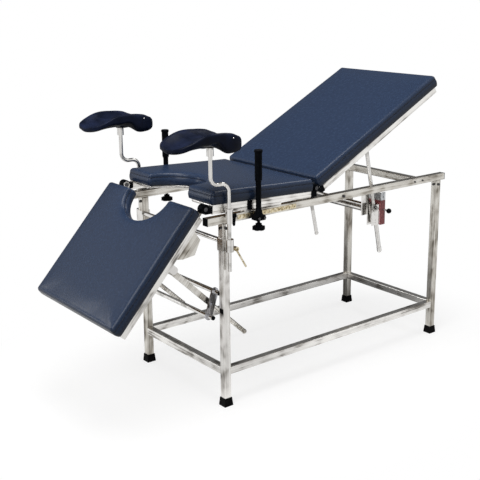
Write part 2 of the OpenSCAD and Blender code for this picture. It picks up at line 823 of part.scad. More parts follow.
// Two cheeks at the end of the shaft, joined by a web at the top, with the stay between them
module stay_yoke() {
    face_y = yoke_front_y - yoke_front_t;
    hole_x = yoke_x0 + yoke_hole_in;
    color(CHROME) placed() {
        block([yoke_x0, yoke_rear_y, yoke_bottom], [yoke_x1, yoke_rear_y + yoke_rear_t, yoke_top]);
        difference() {
            block([yoke_x0, face_y, yoke_bottom], [yoke_x1, yoke_front_y, yoke_top]);
            for (drop = yoke_hole_drops)
                rod_y_axis(yoke_hole_r, face_y - eps, yoke_front_y + eps, hole_x, yoke_top - drop);
        }
        block([yoke_x1 - yoke_web, yoke_front_y, yoke_top - yoke_web_h], [yoke_x1, yoke_rear_y, yoke_top]);
        rod_y_axis(yoke_boss_r, face_y - yoke_boss_h, face_y, shaft_x, shaft_z);
        rod_y_axis(yoke_bolt_r, face_y - yoke_boss_h - yoke_bolt_h, face_y - yoke_boss_h, shaft_x, shaft_z);
    }
}

lock_w = 29;
lock_t = 5;
lock_drop = 41;
lock_h = 142;
lock_top = rail_top_z - lock_drop;
lock_bottom = lock_top - lock_h;
lock_foot_t = 4;
lock_foot_h = 64;
lock_hole_r = 3.5;
lock_hole_drop = 19;
lock_bolt_r = 4;
lock_bolt_drops = [14, 44];
lock_gap = 1;
lock_x0 = yoke_x1 + lock_gap;
lock_eye_x = lock_x0 + lock_w / 2;
lock_y = yoke_front_y - yoke_front_t;
knob_stem_r = 4;
ball_r = 11;
ball_reach = 36;
lock_tail = 14;
lock_eye_drop = 116;
lock_eye_z = rail_top_z - lock_eye_drop;

// Painted plate that the spring plunger works in, with a bolted foot that reaches the hanger
module lock_plate() {
    bolt_y = (lock_y + hanger_y0) / 2;
    color(RED) placed() difference() {
        union() {
            block([lock_x0, lock_y - lock_t, lock_bottom], [lock_x0 + lock_w, lock_y, lock_top]);
            block([lock_x0, lock_y, lock_top - lock_foot_h], [lock_x0 + lock_foot_t, hanger_y0, lock_top]);
            for (drop = lock_bolt_drops)
                translate([lock_x0 - pin_head_h, bolt_y, lock_top - drop]) rotate([0, 90, 0])
                    cylinder(r = lock_bolt_r, h = pin_head_h);
        }
        rod_y_axis(knob_stem_r + run_gap, lock_y - lock_t - eps, lock_y + eps, lock_eye_x, lock_eye_z);
        rod_y_axis(lock_hole_r, lock_y - lock_t - eps, lock_y + eps, lock_eye_x, lock_top - lock_hole_drop);
    }
}

module lock_knob() {
    face_y = lock_y - lock_t;
    tail_y = lock_y + lock_tail;
    color(BLACK) placed() {
        rod_y_axis(knob_stem_r, face_y - ball_reach, tail_y, lock_eye_x, lock_eye_z);
        translate([lock_eye_x, face_y - ball_reach, lock_eye_z]) sphere(r = ball_r);
        rod_y_axis(2 * knob_stem_r, tail_y - pin_head_h, tail_y, lock_eye_x, lock_eye_z);
    }
}

lever_ahead = 2;
lever_rise = 20;
lever_x = back_pivot_x - lever_ahead;
lever_z = rail_top_z + lever_rise;
lever_len = 184;
lever_lean = 12.8;
lever_d = 14;
lever_gap = 2;
lever_eye_r = 10;
lever_end_swell = 1;
lever_y = -(sec_in_y - lever_gap - lever_d / 2);

// Hand lever below the back's hinge
module hinge_lock_lever() {
    color(CHROME) placed() translate([lever_x, 0, lever_z]) rotate([0, -lever_lean, 0]) difference() {
        union() {
            rod_y_axis(lever_eye_r, lever_y - lever_d / 2, lever_y + lever_d / 2);
            translate([0, lever_y, -lever_len]) cylinder(d = lever_d, h = lever_len);
            translate([0, lever_y, -lever_len]) sphere(r = lever_d / 2 + lever_end_swell);
        }
        rod_y_axis(stay_pin_r + run_gap, lever_y - lever_d, lever_y + lever_d);
    }
}

// Leg section

leg_tube_x0 = -36;
leg_tube_x1 = leg_end + sec_inset;
leg_eye_r = 14;

module leg_side_tubes() {
    color(STEEL) on_leg() both_sides() difference() {
        union() {
            translate([leg_tube_x1, -leg_sec_y - sec_tube_w / 2, leg_tube_top - sec_tube_w])
                cube([leg_tube_x0 - leg_tube_x1, sec_tube_w, sec_tube_w]);
            // Leaf on the tube's inner face, with the eye on the hinge bolt
            rod_y_axis(leg_eye_r, -leg_in_y, -leg_in_y + leaf_t);
            block(
                [2 * leg_tube_x0, -leg_in_y, leg_tube_top - sec_tube_w],
                [0, -leg_in_y + leaf_t, leg_tube_top]);
        }
        rod_y_axis(pin_r + run_gap, -pad_w, 0);
    }
}

module leg_end_tube() {
    color(STEEL) on_leg() translate([leg_tube_x1, -leg_in_y, leg_tube_top - sec_tube_w])
        cube([sec_tube_w, 2 * leg_in_y, sec_tube_w]);
}

// Gusset under the side tube by the opening, with a folded edge
// Its places are along the leg section and below its pivot
gusset_t = 3;
gusset_lip = 14;
gusset_top = [-80, -215];
gusset_low = [[-92, -74], [-149, -91], [-190, -56]];

module leg_gussets() {
    z_top = leg_tube_top - sec_tube_w;
    a = gusset_low[0];
    b = gusset_low[1];
    along = (b - a) / norm(b - a);
    inward = gusset_t * [along[1], -along[0]];
    color(CHROME) on_leg() both_sides() {
        translate([0, -leg_in_y + gusset_t, 0]) rotate([90, 0, 0]) linear_extrude(height = gusset_t)
            polygon(concat([[gusset_top[0], z_top]], gusset_low, [[gusset_top[1], z_top]]));
        translate([0, -leg_in_y + gusset_lip, 0]) rotate([90, 0, 0]) linear_extrude(height = gusset_lip)
            polygon([a, b, b + inward, a + inward]);
    }
}

module leg_board() {
    color(BOARD) on_leg() translate([leg_start, 0, leg_tube_top]) mirror([1, 0, 0])
        board(leg_len, pad_w, leg_notch_hw, leg_notch_depth);
}

module leg_pad() {
    color(NAVY) on_leg() translate([leg_start, 0, leg_tube_top]) mirror([1, 0, 0])
        pad(leg_len, pad_w, leg_pad_t, leg_notch_hw, leg_notch_depth);
}

// Stays of the leg section

leg_stay_in = 48;
leg_stay_y = -(leg_in_y - leg_stay_in);
leg_stay_t = 8;
leg_stay_w = 22;
leg_grip_r = 9;
leg_grip_len = 210;
leg_grip_end_r = 10;
leg_bracket_t = 5;
leg_bracket_r = 15;
stay_bore_r = 5;

module leg_stay_brackets() {
    h = leg_stay_drop + leg_tube_top - sec_tube_w;
    pin_start_y = leg_stay_y - leg_stay_t / 2 - slide_gap;
    pin_end_y = leg_stay_y + leg_stay_t / 2 + slide_gap;
    color(CHROME) on_leg() both_sides() {
        translate([-leg_stay_s, 0, -leg_stay_drop]) {
            translate([0, -leg_in_y + leg_bracket_t, 0]) rotate([90, 0, 0])
                linear_extrude(height = leg_bracket_t) {
                    circle(r = leg_bracket_r);
                    translate([-leg_bracket_r, 0]) square([2 * leg_bracket_r, h]);
                }
            rod_y_axis(stay_bore_r, -leg_in_y, pin_end_y);
            rod_y_axis(stay_bore_r + pin_head_h, pin_end_y, pin_end_y + pin_head_h);
            rod_y_axis(stay_bore_r + pin_head_h, -leg_in_y + leg_bracket_t, pin_start_y);
        }
    }
}

// The frame of the leg stays at their upper pivot, with x along the bar towards its handle
module on_leg_stay() {
    on_leg() translate([-leg_stay_s, 0, -leg_stay_drop])
        rotate([0, leg_angle + leg_stay_slope, 0]) children();
}

module leg_stays() {
    flat_len = leg_stay_len - leg_grip_len;
    color(CHROME) on_leg_stay() both_sides() difference() {
        union() {
            rod_y_axis(leg_stay_w / 2, leg_stay_y - leg_stay_t / 2, leg_stay_y + leg_stay_t / 2);
            translate([0, leg_stay_y - leg_stay_t / 2, -leg_stay_w / 2])
                cube([flat_len, leg_stay_t, leg_stay_w]);
            translate([flat_len - leg_grip_r, leg_stay_y, 0]) rotate([0, 90, 0])
                cylinder(r = leg_grip_r, h = leg_grip_len + leg_grip_r);
            translate([leg_stay_len, leg_stay_y, 0]) sphere(r = leg_grip_end_r);
        }
        rod_y_axis(stay_bore_r + run_gap, leg_stay_y - leg_stay_w, leg_stay_y + leg_stay_w);
    }
}

link_t = 6;
link_r = 16;
link_gap = 2;
link_bolt_r = 6;
link_bolt_h = 4;

// Plates that join the two tubes beside each stay, each with a bolt in its middle
module link_plates() {
    y1 = leg_stay_y - leg_grip_end_r - link_gap;
    upper = stay_tube_upper;
    run = stay_tube_lower - upper;
    color(CHROME) placed() both_sides() difference() {
        translate([upper[0], y1, upper[1]]) rotate([90, 0, 0]) linear_extrude(height = link_t) union() {
            circle(r = link_r);
            translate(run) circle(r = link_r);
            rotate(atan2(run[1], run[0])) translate([0, -link_r]) square([norm(run), 2 * link_r]);
        }
        for (p = stay_tube_places) rod_y_axis(stay_tube_d / 2, y1 - link_t - eps, y1 + eps, p[0], p[1]);
    }
    middle = upper + run / 2;
    color(CHROME) placed() both_sides() translate([middle[0], y1 - link_t, middle[1]])
        bolt_head(2 * link_bolt_r, link_bolt_h);
}

// Leg holders

socket_r = 14;
socket_flare = 3;
socket_drop = 27;
socket_h = 48;
socket_z0 = rail_top_z - socket_drop;
socket_z1 = socket_z0 + socket_h;
socket_y = -rod_y;

// Flared chrome sockets on the rails' outer faces
module rail_sockets() {
    color(CHROME) placed() both_sides() difference() {
        union() {
            translate([rod_x, socket_y, socket_z0]) cylinder(r = socket_r, h = socket_z1 - socket_z0);
            block(
                [rod_x - socket_r, socket_y, socket_z0],
                [rod_x + socket_r, -out_y, rail_top_z - socket_flare]);
        }
        translate([rod_x, socket_y, socket_z0 - eps])
            cylinder(r = rod_d / 2 + run_gap, h = socket_z1 - socket_z0 + 2 * eps);
        screw_way(clamp_lever_z);
        block([rod_x - tube_w, -out_y, 0], [rod_x + tube_w, 0, 2 * rail_top_z]);
    }
}

bush_h = 8;

// Flared bush on the socket that turns with the rod
module rod_bush() {
    color(CHROME) placed() translate([rod_x, -rod_y, socket_z1]) difference() {
        union() {
            cylinder(r = socket_r, h = bush_h);
            translate([0, 0, bush_h - socket_flare])
                cylinder(r = socket_r + socket_flare, h = socket_flare);
        }
        translate([0, 0, -eps]) cylinder(r = rod_d / 2 + run_gap, h = bush_h + 2 * eps);
    }
}

clamp_drop = 87;
clamp_h = 48;
clamp_z1 = rail_top_z - clamp_drop;
clamp_z0 = clamp_z1 - clamp_h;
clamp_wall = 5;
ring_r = 16;

// Straps round the near and far front legs with the ring that holds the rod's lower end
module rod_clamps() {
    x0 = -leg_x - tube_w / 2 - clamp_wall;
    color(CHROME) placed() both_sides() difference() {
        union() {
            block(
                [x0, -out_y - clamp_wall, clamp_z0],
                [-leg_x + tube_w / 2 + clamp_wall, -in_y, clamp_z1]);
            translate([rod_x, -rod_y, clamp_z0]) cylinder(r = ring_r, h = clamp_z1 - clamp_z0);
        }
        block([-leg_x - tube_w / 2, -out_y, 0], [-leg_x + tube_w / 2, 0, 2 * clamp_z1]);
        translate([rod_x, -rod_y, clamp_z0 - eps])
            cylinder(r = rod_d / 2 + run_gap, h = clamp_z1 - clamp_z0 + 2 * eps);
        screw_way(handle_z);
    }
}

handle_drop = 129;
handle_z = rail_top_z - handle_drop;
handle_screw_r = 4;
handle_reach = 10;
handle_x0 = rod_x + ring_r + handle_reach;

// Way of a hand screw along X, from the rod's bore outwards
module screw_way(z) {
    translate([rod_x + rod_d / 2 - eps, -rod_y, z]) rotate([0, 90, 0])
        cylinder(r = handle_screw_r + run_gap, h = tube_w);
}

// A hand screw along X from the rod's bore to x1
module hand_screw(x1, z) {
    x0 = rod_x + rod_d / 2 + run_gap + slide_gap;
    translate([x0, -rod_y, z]) rotate([0, 90, 0]) cylinder(r = handle_screw_r, h = x1 - x0);
}

handle_bar_r = 3.5;
handle_bar_len = 92;
handle_lean = 31;
handle_hub_r = 9;
handle_eye_r = 3.5;

// Hand screw whose head is a drilled boss with a long bar
module t_handle() {
    x = handle_x0 + handle_bar_r;
    color(BRASS) placed() difference() {
        union() {
            hand_screw(x, handle_z);
            rod_y_axis(handle_hub_r, -rod_y - handle_hub_r, -rod_y + handle_hub_r, x, handle_z);
            translate([x, -rod_y, handle_z]) rotate([0, 180 - handle_lean, 0])
                cylinder(r = handle_bar_r, h = handle_bar_len);
        }
        rod_y_axis(handle_eye_r, -rod_y - 2 * handle_hub_r, -rod_y + 2 * handle_hub_r, x, handle_z);
    }
}

clamp_lever_drop = 1;
clamp_lever_z = rail_top_z - clamp_lever_drop;
clamp_lever_len = 34;
clamp_lever_r0 = 8;
clamp_lever_r1 = 5;

// Black tapered lever of the rail socket
module clamp_lever() {
    x0 = rod_x + socket_r + slide_gap;
    r0 = clamp_lever_r0;
    r1 = clamp_lever_r1;
    color(BLACK) placed() {
        hand_screw(x0 + r0, clamp_lever_z);
        translate([x0, -rod_y, clamp_lever_z]) {
            rotate([0, 90, 0]) cylinder(r = r0, h = 2 * r0);
            translate([r0, 0, 0]) rotate([0, 180, 0]) cylinder(r1 = r0, r2 = r1, h = clamp_lever_len);
            translate([r0, 0, -clamp_lever_len]) sphere(r = r1);
        }
    }
}

// The holder's rod: up, across towards the foot end on two bends, and up again
module holder_rod() {
    r = rod_d / 2;
    run = rod_step - 2 * rod_bend_r;
    top_z = collar_top_z - collar_floor;
    color(CHROME) placed() {
        translate([rod_x, -rod_y, rod_bottom_z])
            cylinder(r = r, h = rod_step_z - rod_bend_r - rod_bottom_z);
        translate([rod_x - rod_bend_r, -rod_y, rod_step_z - rod_bend_r]) rotate([90, 0, 0])
            rotate_extrude(angle = 90) translate([rod_bend_r, 0]) circle(r = r);
        if (run > 0) translate([rod_x - rod_bend_r - run, -rod_y, rod_step_z]) rotate([0, 90, 0])
            cylinder(r = r, h = run);
        translate([rod_x - rod_step + rod_bend_r, -rod_y, rod_step_z + rod_bend_r]) rotate([90, 0, 0])
            rotate([0, 0, 180]) rotate_extrude(angle = 90) translate([rod_bend_r, 0]) circle(r = r);
        translate([rod_x - rod_step, -rod_y, rod_step_z + rod_bend_r])
            cylinder(r = r, h = top_z - rod_step_z - rod_bend_r);
    }
}

// Saddle: a net whose upper face curves up at the sides and falls at the ends

saddle_rise = 34;
saddle_fall = 50;
saddle_waist_share = 0.84;
saddle_u_n = 20;
saddle_v_n = 10;
saddle_end_share = 0.995;
saddle_end_power = 5;
saddle_end_root = 0.4;
saddle_side_power = 6;
saddle_tip_power = 8;
saddle_off = 42;
collar_r = 13;
collar_floor = 4;
collar_rise = 234;
collar_bottom_z = rail_top_z + collar_rise;
saddle_x = rod_x - rod_step - saddle_off;

// Half the saddle's width at u, from -1 at one end to 1 at the other
function saddle_half(u) =
    saddle_w / 2 * (saddle_waist_share + (1 - saddle_waist_share) * pow(sin(180 * abs(u)), 2))
    * pow(max(1 - pow(abs(u), saddle_end_power), 0), saddle_end_root);
function saddle_top(u, v) = saddle_z + saddle_rise * v * v * (1 - u * u / 2) - saddle_fall * u * u;
// Thickness of the saddle, thin at its edge
function saddle_thick(u, v) =
    saddle_t * sqrt(max(1 - pow(v, saddle_side_power), 0)) * sqrt(max(1 - pow(u, saddle_tip_power), 0));
function saddle_u(i) = -cos(180 * i / saddle_u_n) * saddle_end_share;
function saddle_v(j) = -cos(180 * (j + 1) / (saddle_v_n + 2));
// The collar reaches the lowest place of the saddle's underside above it
collar_top_z = saddle_top((saddle_off + collar_r) / (saddle_len / 2), 0) - saddle_t;

module saddle_body() {
    nu = saddle_u_n + 1;
    nv = saddle_v_n + 1;
    top = [for (i = [0 : saddle_u_n]) for (j = [0 : saddle_v_n])
        let (u = saddle_u(i), v = saddle_v(j))
        [u * saddle_len / 2, v * saddle_half(u), saddle_top(u, v)]];
    low = [for (i = [0 : saddle_u_n]) for (j = [0 : saddle_v_n])
        let (u = saddle_u(i), v = saddle_v(j))
        [u * saddle_len / 2, v * saddle_half(u), saddle_top(u, v) - max(saddle_thick(u, v), saddle_t / 3)]];
    n = nu * nv;
    quads = [for (i = [0 : saddle_u_n - 1]) for (j = [0 : saddle_v_n - 1]) [i * nv + j, (i + 1) * nv + j]];
    b = concat(
        [for (j = [0 : saddle_v_n]) j],
        [for (i = [1 : saddle_u_n]) i * nv + saddle_v_n],
        [for (j = [saddle_v_n - 1 : -1 : 0]) saddle_u_n * nv + j],
        [for (i = [saddle_u_n - 1 : -1 : 1]) i * nv]);
    low_b = [for (i = b) n + i];
    polyhedron(
        points = concat(top, low),
        faces = concat(
            [for (q = quads) each [[q[0], q[0] + 1, q[1]], [q[0] + 1, q[1] + 1, q[1]]]],
            [for (q = quads) each [
                [n + q[0], n + q[1], n + q[0] + 1],
                [n + q[0] + 1, n + q[1], n + q[1] + 1]]],
            ring_faces(low_b, b, len(b))),
        convexity = 6);
}

module saddle() {
    color(SADDLE) placed() translate([saddle_x, -rod_y, 0]) saddle_body();
}

// Chrome collar under the saddle, which turns on the rod
module holder_collar() {
    h = collar_top_z - collar_bottom_z;
    color(CHROME) placed() translate([rod_x - rod_step, -rod_y, collar_bottom_z]) difference() {
        cylinder(r = collar_r, h = h);
        translate([0, 0, -eps])
            cylinder(r = rod_d / 2 + run_gap, h = h - collar_floor + eps + slide_gap);
    }
}

// Hand grips

post_base_drop = 34;
post_base_h = 19;
post_base_z0 = rail_top_z - post_base_drop;
post_base_z1 = post_base_z0 + post_base_h;
post_base_w = 40;
post_stem_r = 6;
post_stem_drop = 48;
post_stem_z0 = rail_top_z - post_stem_drop;
post_foot_t = 18;
post_foot_d = 34;
post_foot_h = 26;
post_neck_d = 21;
post_neck_top = 112;
post_flare_h = 8;
post_grip_d = 28;
post_cap_h = 9;
post_cap_edge = 2;
clip_x0 = 165;
clip_x1 = 183;
clip_t = 4;
clip_gap = 1;
knob_drop = 72;
knob_z0 = rail_top_z - knob_drop;
knob_rim_h = 13;
knob_hub_r = 12;
scallops = 6;
scallop_r = 5;
scallop_out = 1;
post_base_mid_z = (post_base_z0 + post_base_z1) / 2;

// Outline of a grip from its middle: foot, neck, thicker grip and a cap
function post_outline() =
    let (
        neck_z = post_base_z1 + post_foot_h,
        grip_z = rail_top_z + post_neck_top,
        cap_z = post_top_z - post_cap_h
    ) [
        [0, post_base_z1],
        [post_foot_d / 2, post_base_z1],
        [post_neck_d / 2, neck_z],
        [post_neck_d / 2, grip_z],
        [post_grip_d / 2, grip_z + post_flare_h],
        [post_grip_d / 2, cap_z],
        [post_d / 2, cap_z],
        [post_d / 2, post_top_z - post_cap_edge],
        [post_d / 2 - post_cap_edge, post_top_z],
        [0, post_top_z]
    ];

// Grips outside the rails, each on a base against the rail, with a clip on the seat's side tube
module hand_posts() {
    color(BLACK) placed() both_sides() difference() {
        union() {
            translate([post_x, -post_y, 0]) rotate_extrude() polygon(post_outline());
            block(
                [post_x - post_base_w / 2, -post_y - post_foot_t, post_base_z0],
                [post_x + post_base_w / 2, -out_y - strip_t, post_base_z1]);
        }
        translate([post_x, -post_y, post_base_z0 - eps])
            cylinder(r = post_stem_r + run_gap, h = post_foot_t);
    }
    color(BLACK) on_seat() both_sides() block(
        [clip_x0, -sec_out_y - clip_t, seat_tube_bottom - flange_t],
        [clip_x1, -sec_out_y, seat_tube_top - clip_gap]);
}

module post_knob() {
    color(BLACK) placed() translate([post_x, -post_y, 0]) {
        translate([0, 0, post_stem_z0 - eps])
            cylinder(r = post_stem_r, h = post_base_z0 - post_stem_z0 + post_foot_t - 2 * eps);
        translate([0, 0, knob_z0 + knob_rim_h - eps])
            cylinder(r = knob_hub_r, h = post_stem_z0 - knob_z0 - knob_rim_h + eps);
        difference() {
            translate([0, 0, knob_z0]) cylinder(d = knob_d, h = knob_rim_h);
            for (i = [1 : scallops])
                rotate(i * 360 / scallops) translate([knob_d / 2 + scallop_out, 0, knob_z0 - eps])
                    cylinder(r = scallop_r, h = knob_rim_h + 2 * eps, $fn = 24);
        }
    }
}

// Drawing
leg(-1, -1);  // near_front_leg
leg(-1, 1);  // far_front_leg
leg(1, -1);  // near_rear_leg
leg(1, 1);  // far_rear_leg
rubber_feet();
bottom_side_rails();
bottom_end_rails();
top_side_rails();
tube_caps();
rear_cross_rail();
front_cross_tubes();
frame_bolts();
holed_strips();
seat_side_tubes();
seat_rear_tube();
seat_u_bar();
seat_board();
seat_pad();
seat_risers();
leg_hinge_blocks();
back_hinge_brackets();
cross_shaft();
tie_tube();
shaft_hangers();
stay_yoke();
lock_plate();
lock_knob();
hinge_lock_lever();
link_plates();
rail_sockets();
rod_clamps();
hand_posts();
post_knob();  // near_post_knob
mirror([0, 1, 0]) post_knob();  // far_post_knob
rod_bush();  // near_rod_bush
mirror([0, 1, 0]) rod_bush();  // far_rod_bush
holder_rod();  // near_holder_rod
mirror([0, 1, 0]) holder_rod();  // far_holder_rod
holder_collar();  // near_holder_collar
mirror([0, 1, 0]) holder_collar();  // far_holder_collar
saddle();  // near_saddle
mirror([0, 1, 0]) saddle();  // far_saddle
t_handle();  // near_t_handle
mirror([0, 1, 0]) t_handle();  // far_t_handle
clamp_lever();  // near_clamp_lever
mirror([0, 1, 0]) clamp_lever();  // far_clamp_lever
back_side_tubes();
back_end_tubes();
back_board();
back_pad();
back_hinge_leaves();
back_stay_bracket();
back_stay();
leg_side_tubes();
leg_end_tube();
leg_gussets();
leg_board();
leg_pad();
leg_stay_brackets();
leg_stays();
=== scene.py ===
"""Looks of an examination table: its finishes, cushions, leg rests and studio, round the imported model.

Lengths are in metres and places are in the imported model's frame: +X towards the head end, -Y the near side.
"""

import json
import logging
import math
from dataclasses import dataclass, field
from enum import Enum

import bpy
import numpy as np
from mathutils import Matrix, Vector


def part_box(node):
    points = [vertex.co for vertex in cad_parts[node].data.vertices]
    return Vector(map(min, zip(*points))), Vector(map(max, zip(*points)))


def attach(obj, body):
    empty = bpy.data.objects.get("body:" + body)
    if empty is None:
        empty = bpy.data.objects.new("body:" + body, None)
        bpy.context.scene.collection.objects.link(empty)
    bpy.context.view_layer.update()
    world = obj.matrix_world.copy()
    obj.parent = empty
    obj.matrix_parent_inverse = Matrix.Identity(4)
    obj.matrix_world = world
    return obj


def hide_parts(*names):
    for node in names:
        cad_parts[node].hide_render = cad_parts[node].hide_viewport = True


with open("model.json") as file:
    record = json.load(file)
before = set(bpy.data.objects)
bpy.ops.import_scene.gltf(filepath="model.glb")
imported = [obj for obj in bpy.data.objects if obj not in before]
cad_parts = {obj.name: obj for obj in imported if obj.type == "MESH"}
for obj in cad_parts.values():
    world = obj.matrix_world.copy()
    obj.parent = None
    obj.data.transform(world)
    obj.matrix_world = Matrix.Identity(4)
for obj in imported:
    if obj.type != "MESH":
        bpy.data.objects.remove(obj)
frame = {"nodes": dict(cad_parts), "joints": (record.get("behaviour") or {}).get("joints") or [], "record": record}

LOG = logging.getLogger("table")
MM = 0.001
QUARTER = np.pi / 2
TURN = 2 * np.pi

# Slopes of the three sections at rest, in degrees
SEAT_TILT = -2.1
BACK_TILT = 27.5
LEG_TILT = 47.85

Tree = bpy.types.NodeTree
Socket = bpy.types.NodeSocket
Inputs = dict[str, Socket | float]


def linear(code: str) -> tuple[float, float, float, float]:
    """Turns an sRGB colour into linear light.

    Args:
        code: The colour as six hex digits, such as "1C2740".

    Returns:
        Red, green, blue and a full alpha.
    """
    parts = [int(code[i:i + 2], 16) / 255 for i in (0, 2, 4)]
    return (*[c / 12.92 if c <= 0.04045 else ((c + 0.055) / 1.055) ** 2.4 for c in parts], 1.0)


def add(tree: Tree, kind: str, inputs: dict | None = None, **settings) -> bpy.types.Node:
    """Adds a node with its settings and links.

    Args:
        tree: The node tree that gets the node.
        kind: The node's type name.
        inputs: Values by socket name or number; an output socket is linked, anything else is set.
        settings: Attributes of the node itself.

    Returns:
        The new node.
    """
    node = tree.nodes.new(kind)
    for name, value in settings.items():
        setattr(node, name, value)
    for key, value in (inputs or {}).items():
        if isinstance(value, Socket):
            tree.links.new(value, node.inputs[key])
        else:
            node.inputs[key].default_value = value
    return node


def tint(tree: Tree, value: Socket, stops: tuple[float, ...], codes: tuple[str, ...]) -> Socket:
    """Colours a value by stops.

    Args:
        tree: The node tree.
        value: The value from 0 to 1.
        stops: Places of the stops, in order.
        codes: The hex colour of each stop.

    Returns:
        The colour output.
    """
    node = add(tree, "ShaderNodeValToRGB", {0: value})
    while len(node.color_ramp.elements) < len(stops):
        node.color_ramp.elements.new(0.5)
    for element, place, code in zip(node.color_ramp.elements, stops, codes):
        element.position = place
        element.color = linear(code)
    return node.outputs[0]


def blotches(tree: Tree, coords: Socket, size: tuple[float, float, float], tilt: float = 0.0,
             detail: float = 3.0, distortion: float = 0.0) -> Socket:
    """A noise whose blotches have a real size along each axis.

    Args:
        tree: The node tree.
        coords: Object coordinates, in metres.
        size: Length of a blotch along x, y and z.
        tilt: Turn of those axes about Y, in degrees.
        detail: How many finer layers it has.
        distortion: How much the blotches twist.

    Returns:
        The value output, around 0.5.
    """
    mapped = add(tree, "ShaderNodeMapping", {
        "Vector": coords, "Rotation": (0, math.radians(-tilt), 0), "Scale": size}, vector_type="TEXTURE")
    return add(tree, "ShaderNodeTexNoise", {
        "Vector": mapped.outputs[0], "Scale": 1.0, "Detail": detail, "Distortion": distortion}).outputs[0]


class Grain(Enum):
    """Direction of a tube's polishing marks, as the axis that they run along before any tilt."""

    X = 0
    Y = 1
    Z = 2


@dataclass(frozen=True)
class Finish:
    """A finish with a name; each kind says how its surface is made."""

    name: str

    def material(self) -> bpy.types.Material:
        """Makes the material when it is first asked for.

        Returns:
            The material of this finish's name.
        """
        found = bpy.data.materials.get(self.name)
        if found:
            return found
        made = bpy.data.materials.new(self.name)
        made.use_nodes = True
        tree = made.node_tree
        tree.nodes.clear()
        coords = add(tree, "ShaderNodeTexCoord").outputs["Object"]
        shader = add(tree, "ShaderNodeBsdfPrincipled", self.surface(tree, coords))
        add(tree, "ShaderNodeOutputMaterial", {"Surface": shader.outputs[0]})
        return made

    def surface(self, tree: Tree, coords: Socket) -> Inputs:
        """Makes the pattern nodes; every kind of finish has its own.

        Args:
            tree: The material's node tree.
            coords: Object coordinates, in metres.

        Returns:
            The shader's inputs by name.
        """
        raise NotImplementedError

    @staticmethod
    def between(tree: Tree, value: Socket, ends: tuple[float, float]) -> Socket:
        """Stretches the middle of a noise, 0.3 to 0.7, to the range between two ends."""
        return add(tree, "ShaderNodeMapRange", {0: value, 1: 0.3, 2: 0.7, 3: ends[0], 4: ends[1]}).outputs[0]

    @staticmethod
    def beyond(tree: Tree, coords: Socket, axis: Grain, place: float) -> Socket:
        """Is 0 before a place on an axis and 1 beyond it, and changes over two millimetres.

        Args:
            tree: The material's node tree.
            coords: Object coordinates, in metres.
            axis: The axis.
            place: The place on it.

        Returns:
            The value output.
        """
        along = add(tree, "ShaderNodeSeparateXYZ", {0: coords}).outputs[axis.value]
        return add(tree, "ShaderNodeMapRange", {0: along, 1: place - MM, 2: place + MM}).outputs[0]

    @staticmethod
    def relief(tree: Tree, height: Socket, depth: float, under: Socket | None = None) -> Socket:
        """A bump of a real depth, over another one if there is one.

        Args:
            tree: The material's node tree.
            height: The pattern, from 0 to 1.
            depth: Its depth in metres.
            under: The normal of the bump below.

        Returns:
            The normal output.
        """
        inputs = {"Height": height, "Strength": 1.0, "Distance": depth}
        if under:
            inputs["Normal"] = under
        return add(tree, "ShaderNodeBump", inputs).outputs[0]


@dataclass(frozen=True)
class PolishedStainless(Finish):
    """Hand-polished stainless steel tube: grey, with long smears and darker patches that follow the tube.

    Each kind of mark has its length along the tube and its width across. The polishing lines are drawn wider
    than the real ones, which are a tenth of a millimetre, so that they show.
    """

    grain: Grain = Grain.X
    tilt: float = 0.0
    bright: str = "F2F0EC"
    middle: str = "DBD8D4"
    dark: str = "A19D97"
    deep: str = "55524E"
    stops: tuple[float, ...] = (0.33, 0.40, 0.46, 0.56)
    patch: tuple[float, float] = (0.085, 0.05)
    smear: tuple[float, float] = (0.30, 0.006)
    smear_share: float = 0.45
    line: tuple[float, float] = (0.15, 0.0016)
    line_depth: float = 0.00006
    roughness: tuple[float, float] = (0.38, 0.22)

    def along(self, length: float, width: float) -> tuple[float, float, float]:
        """Size of a mark that is long in the direction of the polishing.

        Args:
            length: Its length along the tube.
            width: Its width across.

        Returns:
            Its size along x, y and z.
        """
        size = [width] * 3
        size[self.grain.value] = length
        return tuple(size)

    def surface(self, tree: Tree, coords: Socket) -> Inputs:
        """Patches and smears together colour the metal, and fine lines along the tube roughen it.

        Args:
            tree: The material's node tree.
            coords: Object coordinates, in metres.

        Returns:
            The shader's inputs by name.
        """
        patches = blotches(tree, coords, self.along(*self.patch), self.tilt, detail=2.0, distortion=0.3)
        smears = blotches(tree, coords, self.along(*self.smear), self.tilt)
        lines = blotches(tree, coords, self.along(*self.line), self.tilt, detail=2.0)
        mixed = add(tree, "ShaderNodeMix", {0: self.smear_share, 2: patches, 3: smears},
                    data_type="FLOAT").outputs[0]
        return {"Base Color": tint(tree, mixed, self.stops, (self.deep, self.dark, self.middle, self.bright)),
                "Metallic": 1.0,
                "Roughness": self.between(tree, mixed, self.roughness),
                "Normal": self.relief(tree, lines, self.line_depth)}


@dataclass(frozen=True)
class BrightChrome(Finish):
    """Chrome plate: cold, nearly clean mirror with faint clouding."""

    colour: str = "DFDDDA"
    clouded: str = "B4B2AE"
    cloud: float = 0.04
    stops: tuple[float, float] = (0.32, 0.5)
    roughness: tuple[float, float] = (0.2, 0.1)

    def surface(self, tree: Tree, coords: Socket) -> Inputs:
        """Clouds roughen and darken the plate a little.

        Args:
            tree: The material's node tree.
            coords: Object coordinates, in metres.

        Returns:
            The shader's inputs by name.
        """
        clouds = blotches(tree, coords, (self.cloud,) * 3, distortion=0.4)
        return {"Base Color": tint(tree, clouds, self.stops, (self.clouded, self.colour)),
                "Metallic": 1.0,
                "Roughness": self.between(tree, clouds, self.roughness)}


